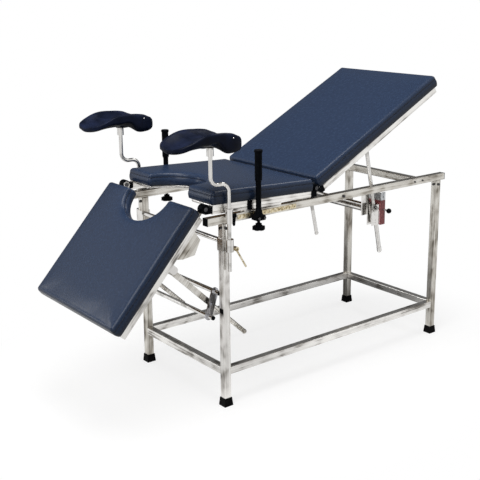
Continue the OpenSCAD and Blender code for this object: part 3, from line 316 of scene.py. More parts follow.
@dataclass(frozen=True)
class PvcLeather(Finish):
    """Upholstery vinyl over foam: calendered, semi-gloss, with a fine pebbled grain and slack places.

    The grain is drawn coarser than the real one of a millimetre, so that it shows.
    """

    colour: str = "29374F"
    shade_colour: str = "263248"
    stops: tuple[float, float] = (0.3, 0.7)
    grain_size: float = 0.0024
    grain_depth: float = 0.000006
    slack_size: float = 0.09
    slack_depth: float = 0.0011
    mottle_size: float = 0.012
    specular: float = 0.22
    roughness: tuple[float, float] = (0.22, 0.30)

    def surface(self, tree: Tree, coords: Socket) -> Inputs:
        """Broad slack places under a fine pebble grain.

        Args:
            tree: The material's node tree.
            coords: Object coordinates, in metres.

        Returns:
            The shader's inputs by name.
        """
        slack = blotches(tree, coords, (self.slack_size,) * 3, detail=2.0, distortion=0.3)
        mottle = blotches(tree, coords, (self.mottle_size,) * 3, detail=4.0)
        pebble = blotches(tree, coords, (self.grain_size,) * 3, detail=1.0)
        low = self.relief(tree, slack, self.slack_depth)
        return {"Base Color": tint(tree, mottle, self.stops, (self.shade_colour, self.colour)),
                "Specular IOR Level": self.specular,
                "Roughness": self.between(tree, mottle, self.roughness),
                "Normal": self.relief(tree, pebble, self.grain_depth, low)}


@dataclass(frozen=True)
class MouldedFoamSkin(Finish):
    """Self-skinned polyurethane foam: nearly black, smooth and slightly glossy, dulled where it is touched."""

    colour: str = "0D1220"
    worn: str = "192036"
    stops: tuple[float, float] = (0.35, 0.7)
    touch_size: float = 0.05
    texture: float = 0.0022
    depth: float = 0.00012
    specular: float = 0.05
    roughness: tuple[float, float] = (0.28, 0.42)

    def surface(self, tree: Tree, coords: Socket) -> Inputs:
        """Handling dulls the skin in broad places, over a fine mould texture.

        Args:
            tree: The material's node tree.
            coords: Object coordinates, in metres.

        Returns:
            The shader's inputs by name.
        """
        touched = blotches(tree, coords, (self.touch_size,) * 3)
        fine = blotches(tree, coords, (self.texture,) * 3, detail=2.0)
        return {"Base Color": tint(tree, touched, self.stops, (self.colour, self.worn)),
                "Specular IOR Level": self.specular,
                "Roughness": self.between(tree, touched, self.roughness),
                "Normal": self.relief(tree, fine, self.depth)}


@dataclass(frozen=True)
class MouldedPlastic(Finish):
    """Injection-moulded black plastic or rubber with a spark-eroded texture: matt, and slightly faded."""

    colour: str = "07090D"
    faded: str = "101217"
    roughness: tuple[float, float] = (0.40, 0.55)
    texture: float = 0.0014
    depth: float = 0.0001
    fading_size: float = 0.02
    stops: tuple[float, float] = (0.35, 0.72)
    specular: float = 0.03

    def surface(self, tree: Tree, coords: Socket) -> Inputs:
        """A fine mould texture and a slight fading in patches.

        Args:
            tree: The material's node tree.
            coords: Object coordinates, in metres.

        Returns:
            The shader's inputs by name.
        """
        fine = blotches(tree, coords, (self.texture,) * 3, detail=2.0)
        fading = blotches(tree, coords, (self.fading_size,) * 3)
        return {"Base Color": tint(tree, fading, self.stops, (self.colour, self.faded)),
                "Specular IOR Level": self.specular,
                "Roughness": self.between(tree, fading, self.roughness),
                "Normal": self.relief(tree, fine, self.depth)}


@dataclass(frozen=True)
class BallKnob(Finish):
    """Black phenolic ball, glossier than the other plastic, on a plated pin."""

    colour: str = "07090D"
    plated: str = "D2D4D5"
    ball: float = 0.022
    specular: float = 0.06
    gloss: float = 0.2

    def surface(self, tree: Tree, coords: Socket) -> Inputs:
        """Beyond the ball the pin's plated steel shows.

        Args:
            tree: The material's node tree.
            coords: Object coordinates, in metres.

        Returns:
            The shader's inputs by name.
        """
        pin = self.beyond(tree, coords, Grain.Y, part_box("lock_knob")[0].y + self.ball)
        colour = add(tree, "ShaderNodeMix", {0: pin, 6: linear(self.colour), 7: linear(self.plated)},
                     data_type="RGBA").outputs[2]
        return {"Base Color": colour, "Metallic": pin, "Specular IOR Level": self.specular,
                "Roughness": self.gloss}


@dataclass(frozen=True)
class YellowPassivated(Finish):
    """Zinc plate with a faded yellow passivated coat: pale straw, darker and browner in places."""

    codes: tuple[str, ...] = ("8E7C5A", "D0C2A0", "EAE2CE")
    stops: tuple[float, ...] = (0.32, 0.5, 0.68)
    cast_size: float = 0.012
    roughness: tuple[float, float] = (0.38, 0.25)

    def surface(self, tree: Tree, coords: Socket) -> Inputs:
        """The cast changes along the bar.

        Args:
            tree: The material's node tree.
            coords: Object coordinates, in metres.

        Returns:
            The shader's inputs by name.
        """
        cast = blotches(tree, coords, (self.cast_size,) * 3)
        return {"Base Color": tint(tree, cast, self.stops, self.codes),
                "Metallic": 1.0,
                "Roughness": self.between(tree, cast, self.roughness)}


@dataclass(frozen=True)
class RedEnamel(Finish):
    """Stove-enamelled steel plate, scuffed to a muted pinkish red and left bare above its painted end."""

    bare_above: float = 0.690
    paint: tuple[str, ...] = ("A25357", "B9686A", "D09C99")
    paint_stops: tuple[float, ...] = (0.35, 0.6, 0.78)
    steel: tuple[str, ...] = ("8E9194", "D2D4D5")
    steel_stops: tuple[float, ...] = (0.35, 0.6)
    scuff: tuple[float, float, float] = (0.008, 0.008, 0.02)
    depth: float = 0.0001
    roughness: tuple[float, float] = (0.28, 0.5)

    def surface(self, tree: Tree, coords: Socket) -> Inputs:
        """Scuffs lighten the enamel and roughen it; above the painted end the plated steel shows.

        Args:
            tree: The material's node tree.
            coords: Object coordinates, in metres.

        Returns:
            The shader's inputs by name.
        """
        scuffs = blotches(tree, coords, self.scuff, detail=4.0, distortion=0.5)
        bare = self.beyond(tree, coords, Grain.Z, self.bare_above)
        colour = add(tree, "ShaderNodeMix", {
            0: bare, 6: tint(tree, scuffs, self.paint_stops, self.paint),
            7: tint(tree, scuffs, self.steel_stops, self.steel)}, data_type="RGBA").outputs[2]
        return {"Base Color": colour,
                "Metallic": bare,
                "Roughness": self.between(tree, scuffs, self.roughness),
                "Normal": self.relief(tree, scuffs, self.depth)}


@dataclass(frozen=True)
class Plywood(Finish):
    """Rotary-cut plywood: pale, with long grain across the board and small dark pores."""

    wood: tuple[str, ...] = ("9A7648", "B8935F", "CDAE7E")
    wood_stops: tuple[float, ...] = (0.3, 0.5, 0.75)
    pore: tuple[str, ...] = ("6B4E2C", "C9A878")
    pore_stops: tuple[float, ...] = (0.35, 0.5)
    pore_share: float = 0.25
    grain: tuple[float, float, float] = (0.006, 0.25, 0.006)
    pores: tuple[float, float, float] = (0.0012, 0.01, 0.0012)
    depth: float = 0.0002
    roughness: float = 0.62

    def surface(self, tree: Tree, coords: Socket) -> Inputs:
        """Grain stretched along Y, darkened by the pores.

        Args:
            tree: The material's node tree.
            coords: Object coordinates, in metres.

        Returns:
            The shader's inputs by name.
        """
        grain = blotches(tree, coords, self.grain, detail=5.0, distortion=0.8)
        pores = blotches(tree, coords, self.pores, detail=2.0)
        colour = add(tree, "ShaderNodeMix", {
            0: self.pore_share, 6: tint(tree, grain, self.wood_stops, self.wood),
            7: tint(tree, pores, self.pore_stops, self.pore)}, data_type="RGBA", blend_type="MULTIPLY")
        return {"Base Color": colour.outputs[2],
                "Roughness": self.roughness,
                "Normal": self.relief(tree, grain, self.depth)}


@dataclass(frozen=True)
class Placement:
    """Place of a section's own frame: x along the section, rising by tilt, and z square to it."""

    origin: tuple[float, float, float]
    tilt: float

    def put(self, points: np.ndarray) -> np.ndarray:
        """Turns points by the tilt about Y and moves them to the origin.

        Args:
            points: An array of N by 3 in the section's frame.

        Returns:
            The same points in the table's frame.
        """
        c, s = math.cos(math.radians(self.tilt)), math.sin(math.radians(self.tilt))
        turned = np.stack([points[:, 0] * c - points[:, 2] * s, points[:, 1],
                           points[:, 0] * s + points[:, 2] * c], axis=1)
        return turned + np.array(self.origin)


def joint_place(name: str) -> tuple[float, float, float]:
    """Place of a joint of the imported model."""
    return tuple(next(j["pos_m"] for j in frame["joints"] if j["name"] == name))


def make_piece(name: str, points: np.ndarray, faces: np.ndarray | list) -> bpy.types.Object:
    """Puts points and faces into a new object at the origin, smoothly shaded.

    Args:
        name: The piece's name.
        points: An array of N by 3, in the table's frame.
        faces: Faces as rows of point numbers.

    Returns:
        The new object.
    """
    mesh = bpy.data.meshes.new(name)
    mesh.from_pydata(points.tolist(), [], faces.tolist() if isinstance(faces, np.ndarray) else faces)
    mesh.validate()
    mesh.polygons.foreach_set("use_smooth", [True] * len(mesh.polygons))
    mesh.update()
    piece = bpy.data.objects.new(name, mesh)
    bpy.context.scene.collection.objects.link(piece)
    LOG.info("%s: %d points", name, len(points))
    return piece


def dress(piece: bpy.types.Object, finish: Finish) -> None:
    """Gives a piece one finish in place of what it has."""
    piece.data.materials.clear()
    piece.data.materials.append(finish.material())


def soften(piece: bpy.types.Object) -> None:
    """Subdivides a piece once, alike in the view and the render."""
    smooth = piece.modifiers.new("smooth", "SUBSURF")
    smooth.levels = smooth.render_levels = 1


def grid_faces(rows: int, cols: int, start: int = 0, flip: bool = False) -> np.ndarray:
    """Quads of a grid of points that are numbered row by row.

    Args:
        rows: Number of rows.
        cols: Number of columns.
        start: Number of the first point.
        flip: Whether the quads face the other way.

    Returns:
        An array of quads.
    """
    i, j = np.meshgrid(np.arange(rows - 1), np.arange(cols - 1), indexing="ij")
    a = start + i * cols + j
    quads = np.stack([a, a + cols, a + cols + 1, a + 1], axis=-1).reshape(-1, 4)
    return quads[:, ::-1] if flip else quads


def loop_faces(lower: np.ndarray, upper: np.ndarray) -> np.ndarray:
    """Quads between two closed loops of point numbers of equal length."""
    return np.stack([lower, np.roll(lower, -1), np.roll(upper, -1), upper], axis=1)


def ring_faces(rings: int, sides: int) -> np.ndarray:
    """Quads of rings of points that follow each other, numbered ring by ring.

    Args:
        rings: Number of rings.
        sides: Points in each ring.

    Returns:
        An array of quads.
    """
    i, j = np.meshgrid(np.arange(rings - 1) * sides, np.arange(sides), indexing="ij")
    after = (j + 1) % sides
    return np.stack([i + j, i + after, i + sides + after, i + sides + j], axis=-1).reshape(-1, 4)


def capped_faces(rings: int, sides: int) -> list[list[int]]:
    """Faces of rings of points that follow each other, with the first and last ring filled.

    Args:
        rings: Number of rings.
        sides: Points in each ring.

    Returns:
        The quads, then the two end faces.
    """
    last = (rings - 1) * sides
    ends = [list(range(sides))[::-1], list(range(last, last + sides))]
    return ring_faces(rings, sides).tolist() + ends


def sweep_closed(path: np.ndarray, radius: float, sides: int,
                 up: np.ndarray) -> tuple[np.ndarray, np.ndarray]:
    """Carries a circle along a closed path: path + radius * (cos a * side + sin a * up).

    Args:
        path: The path's points, N by 3.
        radius: The circle's radius.
        sides: Points round the circle.
        up: A direction that is square to the path everywhere.

    Returns:
        Points and quads of the tube.
    """
    tangent = np.roll(path, -1, axis=0) - np.roll(path, 1, axis=0)
    tangent /= np.linalg.norm(tangent, axis=1, keepdims=True)
    side = np.cross(tangent, up)
    side /= np.linalg.norm(side, axis=1, keepdims=True)
    a = np.linspace(0, TURN, sides, endpoint=False)
    ring = side[:, None, :] * np.cos(a)[None, :, None] + up[None, None, :] * np.sin(a)[None, :, None]
    points = (path[:, None, :] + radius * ring).reshape(-1, 3)
    return points, ring_faces(len(path) + 1, sides) % len(points)


@dataclass(frozen=True)
class CoverCloth:
    """Settings of the cloth simulation that presses a cover out, in the program's own units."""

    quality: int = 6
    mass: float = 0.4
    stretch: float = 30.0
    bend: float = 2.0
    pressure: float = 4.0
    frames: int = 20

    def attach(self, piece: bpy.types.Object, pins: bpy.types.VertexGroup) -> bpy.types.Modifier:
        """Adds the simulation to a piece.

        Args:
            piece: The piece.
            pins: The points that stay.

        Returns:
            The new modifier.
        """
        cloth = piece.modifiers.new("cover", "CLOTH")
        settings = cloth.settings
        settings.quality = self.quality
        settings.mass = self.mass
        settings.tension_stiffness = settings.compression_stiffness = self.stretch
        settings.bending_stiffness = self.bend
        settings.use_pressure = True
        settings.uniform_pressure_force = self.pressure
        settings.vertex_group_mass = pins.name
        settings.effector_weights.gravity = 0
        cloth.point_cache.frame_start = 1
        cloth.point_cache.frame_end = self.frames
        return cloth


@dataclass
class Cushion:
    """A foam cushion under a vinyl cover, with a rounded upper edge and a seam, and an opening if it has one.

    The cushion is worked out in its section's frame. Its outline is a function of two parameters, the place
    across the cushion and the share of its length, drawn in by an inset; its edge is a profile of insets and
    heights carried round that outline. The bulge gives, for each ring of the side, its share of the swell and
    of the seam's height. The steps and rows say how finely the curves are divided.
    """

    name: str
    node: str
    body: str
    placement: Placement
    start: float
    base: float
    direction: int
    length: float
    thickness: float
    width: float = 0.590
    opening_half: float = 0.0
    opening_depth: float = 0.0
    corner: float = 0.014
    edge: float = 0.014
    swell: float = 0.003
    bulge: tuple[tuple[float, float], ...] = ((0.6, 0.3), (1.0, 0.55), (0.6, 0.8))
    fillet: float = 0.012
    seam_drop: float = 0.0175
    seam_depth: float = 0.0008
    seam_lip: float = 0.0001
    seam_half: float = 0.0016
    cord: float = 0.0013
    cord_sides: int = 8
    crown: float = 0.004
    crown_reach: float = 0.05
    rim_clear: float = 0.0001
    fold: float = 0.018
    foot: float = 0.003
    foot_middle: tuple[float, float] = (0.0008, 0.0009)
    board_gap: float = 0.003
    still_share: float = 0.5
    still_steps: int = 22
    side_steps: int = 15
    arc_steps: int = 7
    row_gap: float = 0.022
    row_least: int = 8
    sim_top: float = 0.0022
    sim_side: float = 0.0016
    evening: int = 10
    pinned_rings: int = 4
    least_move: float = 1e-7
    cloth: CoverCloth = CoverCloth()
    finish: Finish = field(default_factory=lambda: PvcLeather("navy_vinyl"))
    # The piping is a real cord, coloured darker than the cover: painted shade of the seam's groove.
    cord_finish: Finish = field(default_factory=lambda: PvcLeather("navy_seam", "1B2438", "151D2E"))

    def columns(self, inset: float) -> tuple[np.ndarray, float]:
        """Places across the cushion, close together round the opening's edge.

        Args:
            inset: How far the outline is drawn in.

        Returns:
            The places from one side to the other, and the half width that the corners don't move.
        """
        half = self.width / 2 - inset
        quarter = np.linspace(0, QUARTER, self.side_steps)
        if self.opening_half:
            a = self.opening_half + inset
            fillet = max(self.fillet - inset, MM)
            still = a + fillet
            side = np.concatenate([a * np.sin(quarter), (a + fillet * (1 - np.cos(quarter[2::2])))])
        else:
            still = half * self.still_share
            side = np.linspace(0, still, self.still_steps)
        outer = still + (half - still) * np.linspace(0, 1, self.side_steps)[1:]
        side = np.concatenate([side, outer])
        return np.concatenate([-side[:0:-1], side]), still

    def rows(self) -> np.ndarray:
        """Shares of the cushion's length, close together at its corners.

        Returns:
            The shares from 0 to 1.
        """
        arc = self.corner * (1 - np.cos(np.linspace(0, QUARTER, self.arc_steps)))
        count = max(int(self.length / self.row_gap), self.row_least)
        middle = np.linspace(self.corner, self.length / 2, count)
        first = np.concatenate([arc, middle[1:]]) / self.length
        return np.concatenate([first, 1 - first[-2::-1]])

    def front(self, y: np.ndarray, inset: float) -> np.ndarray:
        """The front edge: an ellipse at the opening that turns into the straight edge on an arc.

        Args:
            y: Places across the cushion.
            inset: How far the outline is drawn in.

        Returns:
            The place along the cushion at each of them.
        """
        if not self.opening_half:
            return np.full_like(y, inset)
        a = self.opening_half + inset
        fillet = max(self.fillet - inset, MM)
        away = np.abs(y)
        ellipse = fillet + (self.opening_depth - fillet) * np.sqrt(np.clip(1 - (away / a) ** 2, 0, 1))
        arc = fillet - np.sqrt(np.clip(fillet ** 2 - (a + fillet - away) ** 2, 0, None))
        return inset + np.where(away < a, ellipse, np.where(away < a + fillet, arc, 0.0))

    def plan(self, inset: float) -> np.ndarray:
        """The outline drawn in by an inset, and all that lies within it.

        Along the cushion the points run from the front edge to the rear one, and near the corners they are
        pulled in across it by c - sqrt(c^2 - (c - d)^2), d being how far they are from the nearer end.

        Args:
            inset: How far the outline is drawn in.

        Returns:
            An array of rows by columns by 2: the place along and across the cushion.
        """
        y, still = self.columns(inset)
        t = self.rows()[:, None]
        half = self.width / 2 - inset
        x0 = self.front(y, inset)[None, :]
        x = x0 + t * (self.length - inset - x0)
        c = max(self.corner - inset, MM)
        d = np.minimum(np.minimum(t, 1 - t) * (self.length - 2 * inset), c)
        reach = half - c + np.sqrt(c * c - (c - d) ** 2)
        pulled = np.sign(y) * (still + (np.abs(y) - still) * (reach - still) / (half - still))
        across = np.where(np.abs(y)[None, :] <= still, y[None, :] + 0 * t, pulled)
        return np.stack([x, across], axis=-1)

    def border(self) -> np.ndarray:
        """Numbers of a plan's outer points.

        Returns:
            The numbers in order round the plan.
        """
        rows, cols = len(self.rows()), len(self.columns(0.0)[0])
        number = np.arange(rows * cols).reshape(rows, cols)
        return np.concatenate([number[0, :-1], number[:-1, -1], number[-1, :0:-1], number[:0:-1, 0]])

    def profile(self) -> list[tuple[float, float]]:
        """Edge of the cushion: the foot, the swollen side, the seam and the rounded upper edge.

        Returns:
            Inset and height of each ring between the underside and the top, from the bottom up.
        """
        t, e = self.thickness, self.edge
        seam = t - self.seam_drop
        rings = [(self.fold, self.board_gap), (self.fold, 0.0), (self.foot, 0.0), self.foot_middle,
                 (0.0, self.foot)]
        rings += [(-self.swell * out, seam * up) for out, up in self.bulge]
        rings += [(self.seam_lip, seam - self.seam_half), (self.seam_depth, seam),
                  (self.seam_lip, seam + self.seam_half), (0.0, t - e)]
        arc = np.linspace(0, QUARTER, self.arc_steps)[1:-1]
        return rings + [(e * (1 - math.cos(a)), t - e + e * math.sin(a)) for a in arc]

    def seam_ring(self) -> int:
        """Number of the ring that lies in the seam."""
        return [height for _, height in self.profile()].index(self.thickness - self.seam_drop)

    def ring_cap(self, number: int) -> float:
        """How far the simulation may move a ring: not at all at the foot and beside the seam.

        Args:
            number: The ring's number in the profile.

        Returns:
            The most that its points may move.
        """
        seam = self.seam_ring()
        if number <= self.pinned_rings or abs(number - seam) <= 1:
            return 0.0
        return self.sim_side if number < seam else self.sim_top / 2

    def rise(self, plan: np.ndarray) -> np.ndarray:
        """Crown of the top: it rises with the soft distance to the outline and levels out.

        The soft distance is the inverse cube root of the summed outline lengths over distance to the fourth.

        Args:
            plan: Places along and across the cushion.

        Returns:
            The rise at each of them.
        """
        rim = self.plan(self.edge).reshape(-1, 2)[self.border()]
        step = np.linalg.norm(np.roll(rim, -1, axis=0) - rim, axis=1)
        gap = np.linalg.norm(plan[:, None, :] - rim[None, :, :], axis=2)
        soft = (2 / np.pi * np.sum(step / np.maximum(gap, self.rim_clear) ** 4, axis=1)) ** (-1 / 3)
        return self.crown * (1 - np.exp(-soft / self.crown_reach))

    def points(self) -> tuple[np.ndarray, np.ndarray, np.ndarray]:
        """Works the closed cushion out.

        Returns:
            Its points in the section's frame, its quads, and for each point the most that it may move.
        """
        border = self.border()
        rows, cols = len(self.rows()), len(self.columns(0.0)[0])
        low = self.plan(self.fold).reshape(-1, 2)
        top = self.plan(self.edge).reshape(-1, 2)
        net = rows * cols
        parts = [np.column_stack([low, np.full(net, self.board_gap)]),
                 np.column_stack([top, self.thickness + self.rise(top)])]
        free = [np.zeros(net), np.full(net, self.sim_top)]
        faces = [grid_faces(rows, cols, 0), grid_faces(rows, cols, net, flip=True)]
        lower = border
        count = 2 * net
        for number, (inset, height) in enumerate(self.profile()[1:], start=1):
            ring = self.plan(inset).reshape(-1, 2)[border]
            parts.append(np.column_stack([ring, np.full(len(border), height)]))
            free.append(np.full(len(border), self.ring_cap(number)))
            upper = count + np.arange(len(border))
            faces.append(loop_faces(lower, upper))
            lower = upper
            count += len(border)
        faces.append(loop_faces(lower, net + border))
        quads = np.concatenate(faces)
        points = np.concatenate(parts)
        points[:, 0] = self.start + self.direction * points[:, 0]
        points[:, 2] += self.base
        if self.direction > 0:
            quads = quads[:, ::-1]
        return points, quads, np.concatenate(free)

    def ease(self, mesh: bpy.types.Mesh, moved: np.ndarray, free: np.ndarray) -> np.ndarray:
        """Evens small creases out: each move becomes the mean of itself and its neighbours' mean.

        Args:
            mesh: The cushion's mesh.
            moved: How far each point has moved.
            free: The most that each point may move; where it is 0 the point stays.

        Returns:
            The evened moves.
        """
        ends = np.empty(len(mesh.edges) * 2, int)
        mesh.edges.foreach_get("vertices", ends)
        a, b = ends.reshape(-1, 2).T
        count = np.bincount(np.concatenate([a, b]), minlength=len(moved))[:, None]
        for _ in range(self.evening):
            total = np.zeros_like(moved)
            np.add.at(total, a, moved[b])
            np.add.at(total, b, moved[a])
            moved = np.where(free[:, None] > 0, (moved + total / np.maximum(count, 1)) / 2, 0.0)
        return moved

    def inflate(self, piece: bpy.types.Object, free: np.ndarray) -> None:
        """Lets the foam press the cover out by a cloth simulation, then caps how far each point moved.

        Args:
            piece: The cushion, at rest in the table's frame.
            free: The most that each point may move.
        """
        scene = bpy.context.scene
        rest = np.empty(len(piece.data.vertices) * 3)
        piece.data.vertices.foreach_get("co", rest)
        rest = rest.reshape(-1, 3)
        pins = piece.vertex_groups.new(name="seams")
        pins.add(np.flatnonzero(free == 0).tolist(), 1.0, "REPLACE")
        cloth = self.cloth.attach(piece, pins)
        for number in range(1, self.cloth.frames + 1):
            scene.frame_set(number)
        evaluated = piece.evaluated_get(bpy.context.evaluated_depsgraph_get())
        moved = np.empty(len(evaluated.data.vertices) * 3)
        evaluated.data.vertices.foreach_get("co", moved)
        moved = moved.reshape(-1, 3) - rest
        far = np.maximum(np.linalg.norm(moved, axis=1), self.least_move)
        share = free * np.tanh(far / np.maximum(free, self.least_move)) / far
        piece.modifiers.remove(cloth)
        piece.vertex_groups.remove(pins)
        eased = self.ease(piece.data, moved * share[:, None], free)
        piece.data.vertices.foreach_set("co", (rest + eased).ravel())
        piece.data.update()
        scene.frame_set(1)
        LOG.info("%s: the cover moved up to %.1f mm", self.name, far.max() / MM)

    def build(self) -> None:
        """Builds the cushion and its piping, and puts them on their body."""
        points, quads, free = self.points()
        piece = make_piece(self.name, self.placement.put(points), quads)
        self.inflate(piece, free)
        soften(piece)
        dress(piece, self.finish)
        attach(piece, self.body)
        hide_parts(self.node)
        self.build_cord()

    def build_cord(self) -> None:
        """Builds the thin piping that lies in the seam all round; its darker colour paints the seam's shade."""
        inset, height = self.profile()[self.seam_ring()]
        ring = self.plan(inset).reshape(-1, 2)[self.border()]
        path = np.column_stack([self.start + self.direction * ring[:, 0], ring[:, 1],
                                np.full(len(ring), self.base + height)])
        if self.direction < 0:
            path = path[::-1]
        path = self.placement.put(path)
        up = self.placement.put(np.array([[0, 0, 1.0]])) - self.placement.put(np.zeros((1, 3)))
        points, quads = sweep_closed(path, self.cord, self.cord_sides, up[0])
        piece = make_piece(f"{self.name}_piping", points, quads)
        dress(piece, self.cord_finish)
        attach(piece, self.body)


@dataclass
class Saddle:
    """A moulded leg rest: a shell that arches along the table, with a gutter on top and sides that fold down.

    A point is a function of two parameters: the share along the rest, from the foot end at 0 to the head end
    at 1, and an angle round the section. The section is a superellipse between the gutter on top and the
    arched underside. Their heights at the middle (gutter and belly) and at the sides (rim and skirt) are given
    for each station along the rest, in millimetres above the level. A form (n, m) is (1 - |u|^n)^m, with u
    from -1 at one end of the rest to 1 at the other.
    """

    name: str
    node: str
    body: str
    holder: tuple[float, float]
    ahead: float
    turn: float
    length: float = 0.303
    half_width: float = 0.087
    level: float = 1.030
    stations: tuple[float, ...] = (0.0, 0.10, 0.21, 0.30, 0.40, 0.50, 0.57, 0.65, 0.71, 0.78, 0.85, 0.92, 1.0)
    rim: tuple[float, ...] = (28, 36, 49, 60, 66, 66, 65, 66, 64, 60, 51, 43, 20)
    gutter: tuple[float, ...] = (8, 14, 22, 29, 34, 36, 35, 32, 28, 20, 12, 4, 0)
    belly: tuple[float, ...] = (-6, -3, 2, 5, 6, 6, 5, 2, 0, -2, -6, -10, -8)
    skirt: tuple[float, ...] = (-4, 9, 19, 19, 18, 21, 15, -18, -24, -24, -22, -18, -6)
    waist_share: float = 0.93
    tip_form: tuple[float, float] = (5.5, 0.4)
    depth_form: tuple[float, float] = (9.0, 0.5)
    squareness: float = 5.0
    wall_from: float = 0.86
    wall_power: float = 2.2
    rows: int = 57
    cols: int = 56
    tip_merge: float = 0.0002
    boss_radius: float = 0.016
    boss_rise: float = 0.012
    boss_flare: float = 1.15
    boss_sides: int = 32
    rivet_place: tuple[float, float] = (0.76, 38.0)
    rivet_radius: float = 0.0025
    rivet_shares: tuple[float, ...] = (1.0, 0.95, 0.7, 0.4, 0.05)
    rivet_rise: tuple[float, ...] = (-0.003, 0.0006, 0.0014, 0.0018, 0.002)
    rivet_sides: int = 16
    skin_steps: int = 91
    finish: Finish = field(default_factory=lambda: MouldedFoamSkin("moulded_foam_skin"))

    def along(self, heights: tuple[float, ...], share: np.ndarray) -> np.ndarray:
        """Smooth heights: a cubic between each pair of stations with the slopes of their neighbours.

        Args:
            heights: The height at each station, in millimetres.
            share: Shares along the rest.

        Returns:
            The height at each share, in metres.
        """
        x, y = np.array(self.stations), np.array(heights) * MM
        slope = np.gradient(y, x)
        i = np.clip(np.searchsorted(x, share) - 1, 0, len(x) - 2)
        step = x[i + 1] - x[i]
        t = (share - x[i]) / step
        return ((2 * t ** 3 - 3 * t ** 2 + 1) * y[i] + (t ** 3 - 2 * t ** 2 + t) * step * slope[i]
                + (3 * t ** 2 - 2 * t ** 3) * y[i + 1] + (t ** 3 - t ** 2) * step * slope[i + 1])

    def section(self, share: np.ndarray, angle: np.ndarray) -> np.ndarray:
        """Points of the skin: |across|^n + |up|^n = 1 between top and underside, n being the squareness.

        Args:
            share: Shares along the rest.
            angle: Angles round the section.

        Returns:
            The points over the rest's middle, before it is turned and put over its holder.
        """
        u = 2 * share - 1
        tip, depth = [np.clip(1 - np.abs(u) ** n, 0, 1) ** m for n, m in (self.tip_form, self.depth_form)]
        half = self.half_width * (self.waist_share + (1 - self.waist_share) * u * u) * tip
        n = self.squareness
        reach = (np.abs(np.cos(angle)) ** n + np.abs(np.sin(angle)) ** n) ** (1 / n)
        v, rise = np.cos(angle) / reach, np.sin(angle) / reach
        wall = np.clip(np.abs(v) / self.wall_from, 0, 1) ** self.wall_power
        gutter, belly = self.along(self.gutter, share), self.along(self.belly, share)
        top = gutter + (self.along(self.rim, share) - gutter) * wall
        low = belly + (self.along(self.skirt, share) - belly) * wall
        z = self.level + (top + low) / 2 + np.maximum(top - low, MM) / 2 * depth * rise
        return np.stack([u * self.length / 2 + 0 * v, half * v, z + 0 * v], axis=-1)

    def put(self, points: np.ndarray) -> np.ndarray:
        """Turns points about the upright axis and moves them over the holder.

        Args:
            points: Points over the rest's middle.

        Returns:
            The same points in the table's frame, N by 3.
        """
        c, s = math.cos(math.radians(self.turn)), math.sin(math.radians(self.turn))
        x, y, z = points.reshape(-1, 3).T
        x0, y0 = self.holder
        return np.stack([x * c - y * s + x0 + self.ahead, x * s + y * c + y0, z], axis=1)

    def build(self) -> None:
        """Builds the skin, its boss and its rivets and puts them on their body."""
        share = (1 - np.cos(np.linspace(0, np.pi, self.rows))[:, None]) / 2
        angle = np.linspace(0, TURN, self.cols, endpoint=False)[None, :]
        points = self.put(self.section(share, angle))
        piece = make_piece(self.name, points, ring_faces(self.rows, self.cols))
        fuse = piece.modifiers.new("tips", "WELD")
        fuse.merge_threshold = self.tip_merge
        soften(piece)
        dress(piece, self.finish)
        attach(piece, self.body)
        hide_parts(self.node)
        self.build_boss()
        self.build_rivets()

    def build_boss(self) -> None:
        """Builds the round boss that joins the shell to its collar: a cylinder that flares into the shell."""
        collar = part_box(self.node.replace("saddle", "holder_collar"))[1].z
        ring = np.linspace(0, TURN, self.boss_sides, endpoint=False)
        radius = np.array([1.0, 1.0, self.boss_flare])[:, None] * self.boss_radius
        level = np.array([collar, (collar + self.level) / 2, self.level + self.boss_rise])[:, None]
        x0, y0 = self.holder
        points = np.stack([x0 + radius * np.cos(ring), y0 + radius * np.sin(ring), level + 0 * ring], axis=-1)
        faces = capped_faces(len(radius), self.boss_sides)
        boss = make_piece(f"{self.name}_boss", points.reshape(-1, 3), faces)
        dress(boss, self.finish)
        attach(boss, self.body)

    def build_rivets(self) -> None:
        """Builds a domed rivet on each side of the head end: rings whose height rises as they narrow."""
        share, height = self.rivet_place
        angle = np.linspace(0, QUARTER, self.skin_steps)[None, :]
        skin = self.section(np.array([[share]]), angle)[0]
        reach = float(np.interp(-height * MM, self.level - skin[:, 2], skin[:, 1]))
        ring = np.linspace(0, TURN, self.rivet_sides, endpoint=False)[None, :]
        radius = np.array(self.rivet_shares)[:, None] * self.rivet_radius
        out = np.array(self.rivet_rise)[:, None]
        x = (2 * share - 1) * self.length / 2 + radius * np.cos(ring)
        z = self.level + height * MM + radius * np.sin(ring)
        faces = capped_faces(len(radius), self.rivet_sides)
        for word, sign in (("near", -1), ("far", 1)):
            points = self.put(np.stack([x, sign * (reach + out) + 0 * x, z], axis=-1))
            turned = [face[::-1] for face in faces] if sign > 0 else faces
            rivet = make_piece(f"{self.name}_rivet_{word}", points, turned)
            dress(rivet, BrightChrome("bright_chrome"))
            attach(rivet, self.body)


@dataclass(frozen=True)
class Tube:
    """Which nodes are tube of one direction, how far they are tilted, and whether they get painted shade."""

    nodes: tuple[str, ...]
    grain: Grain
    tilt: float = 0.0
    painted_shade: bool = False


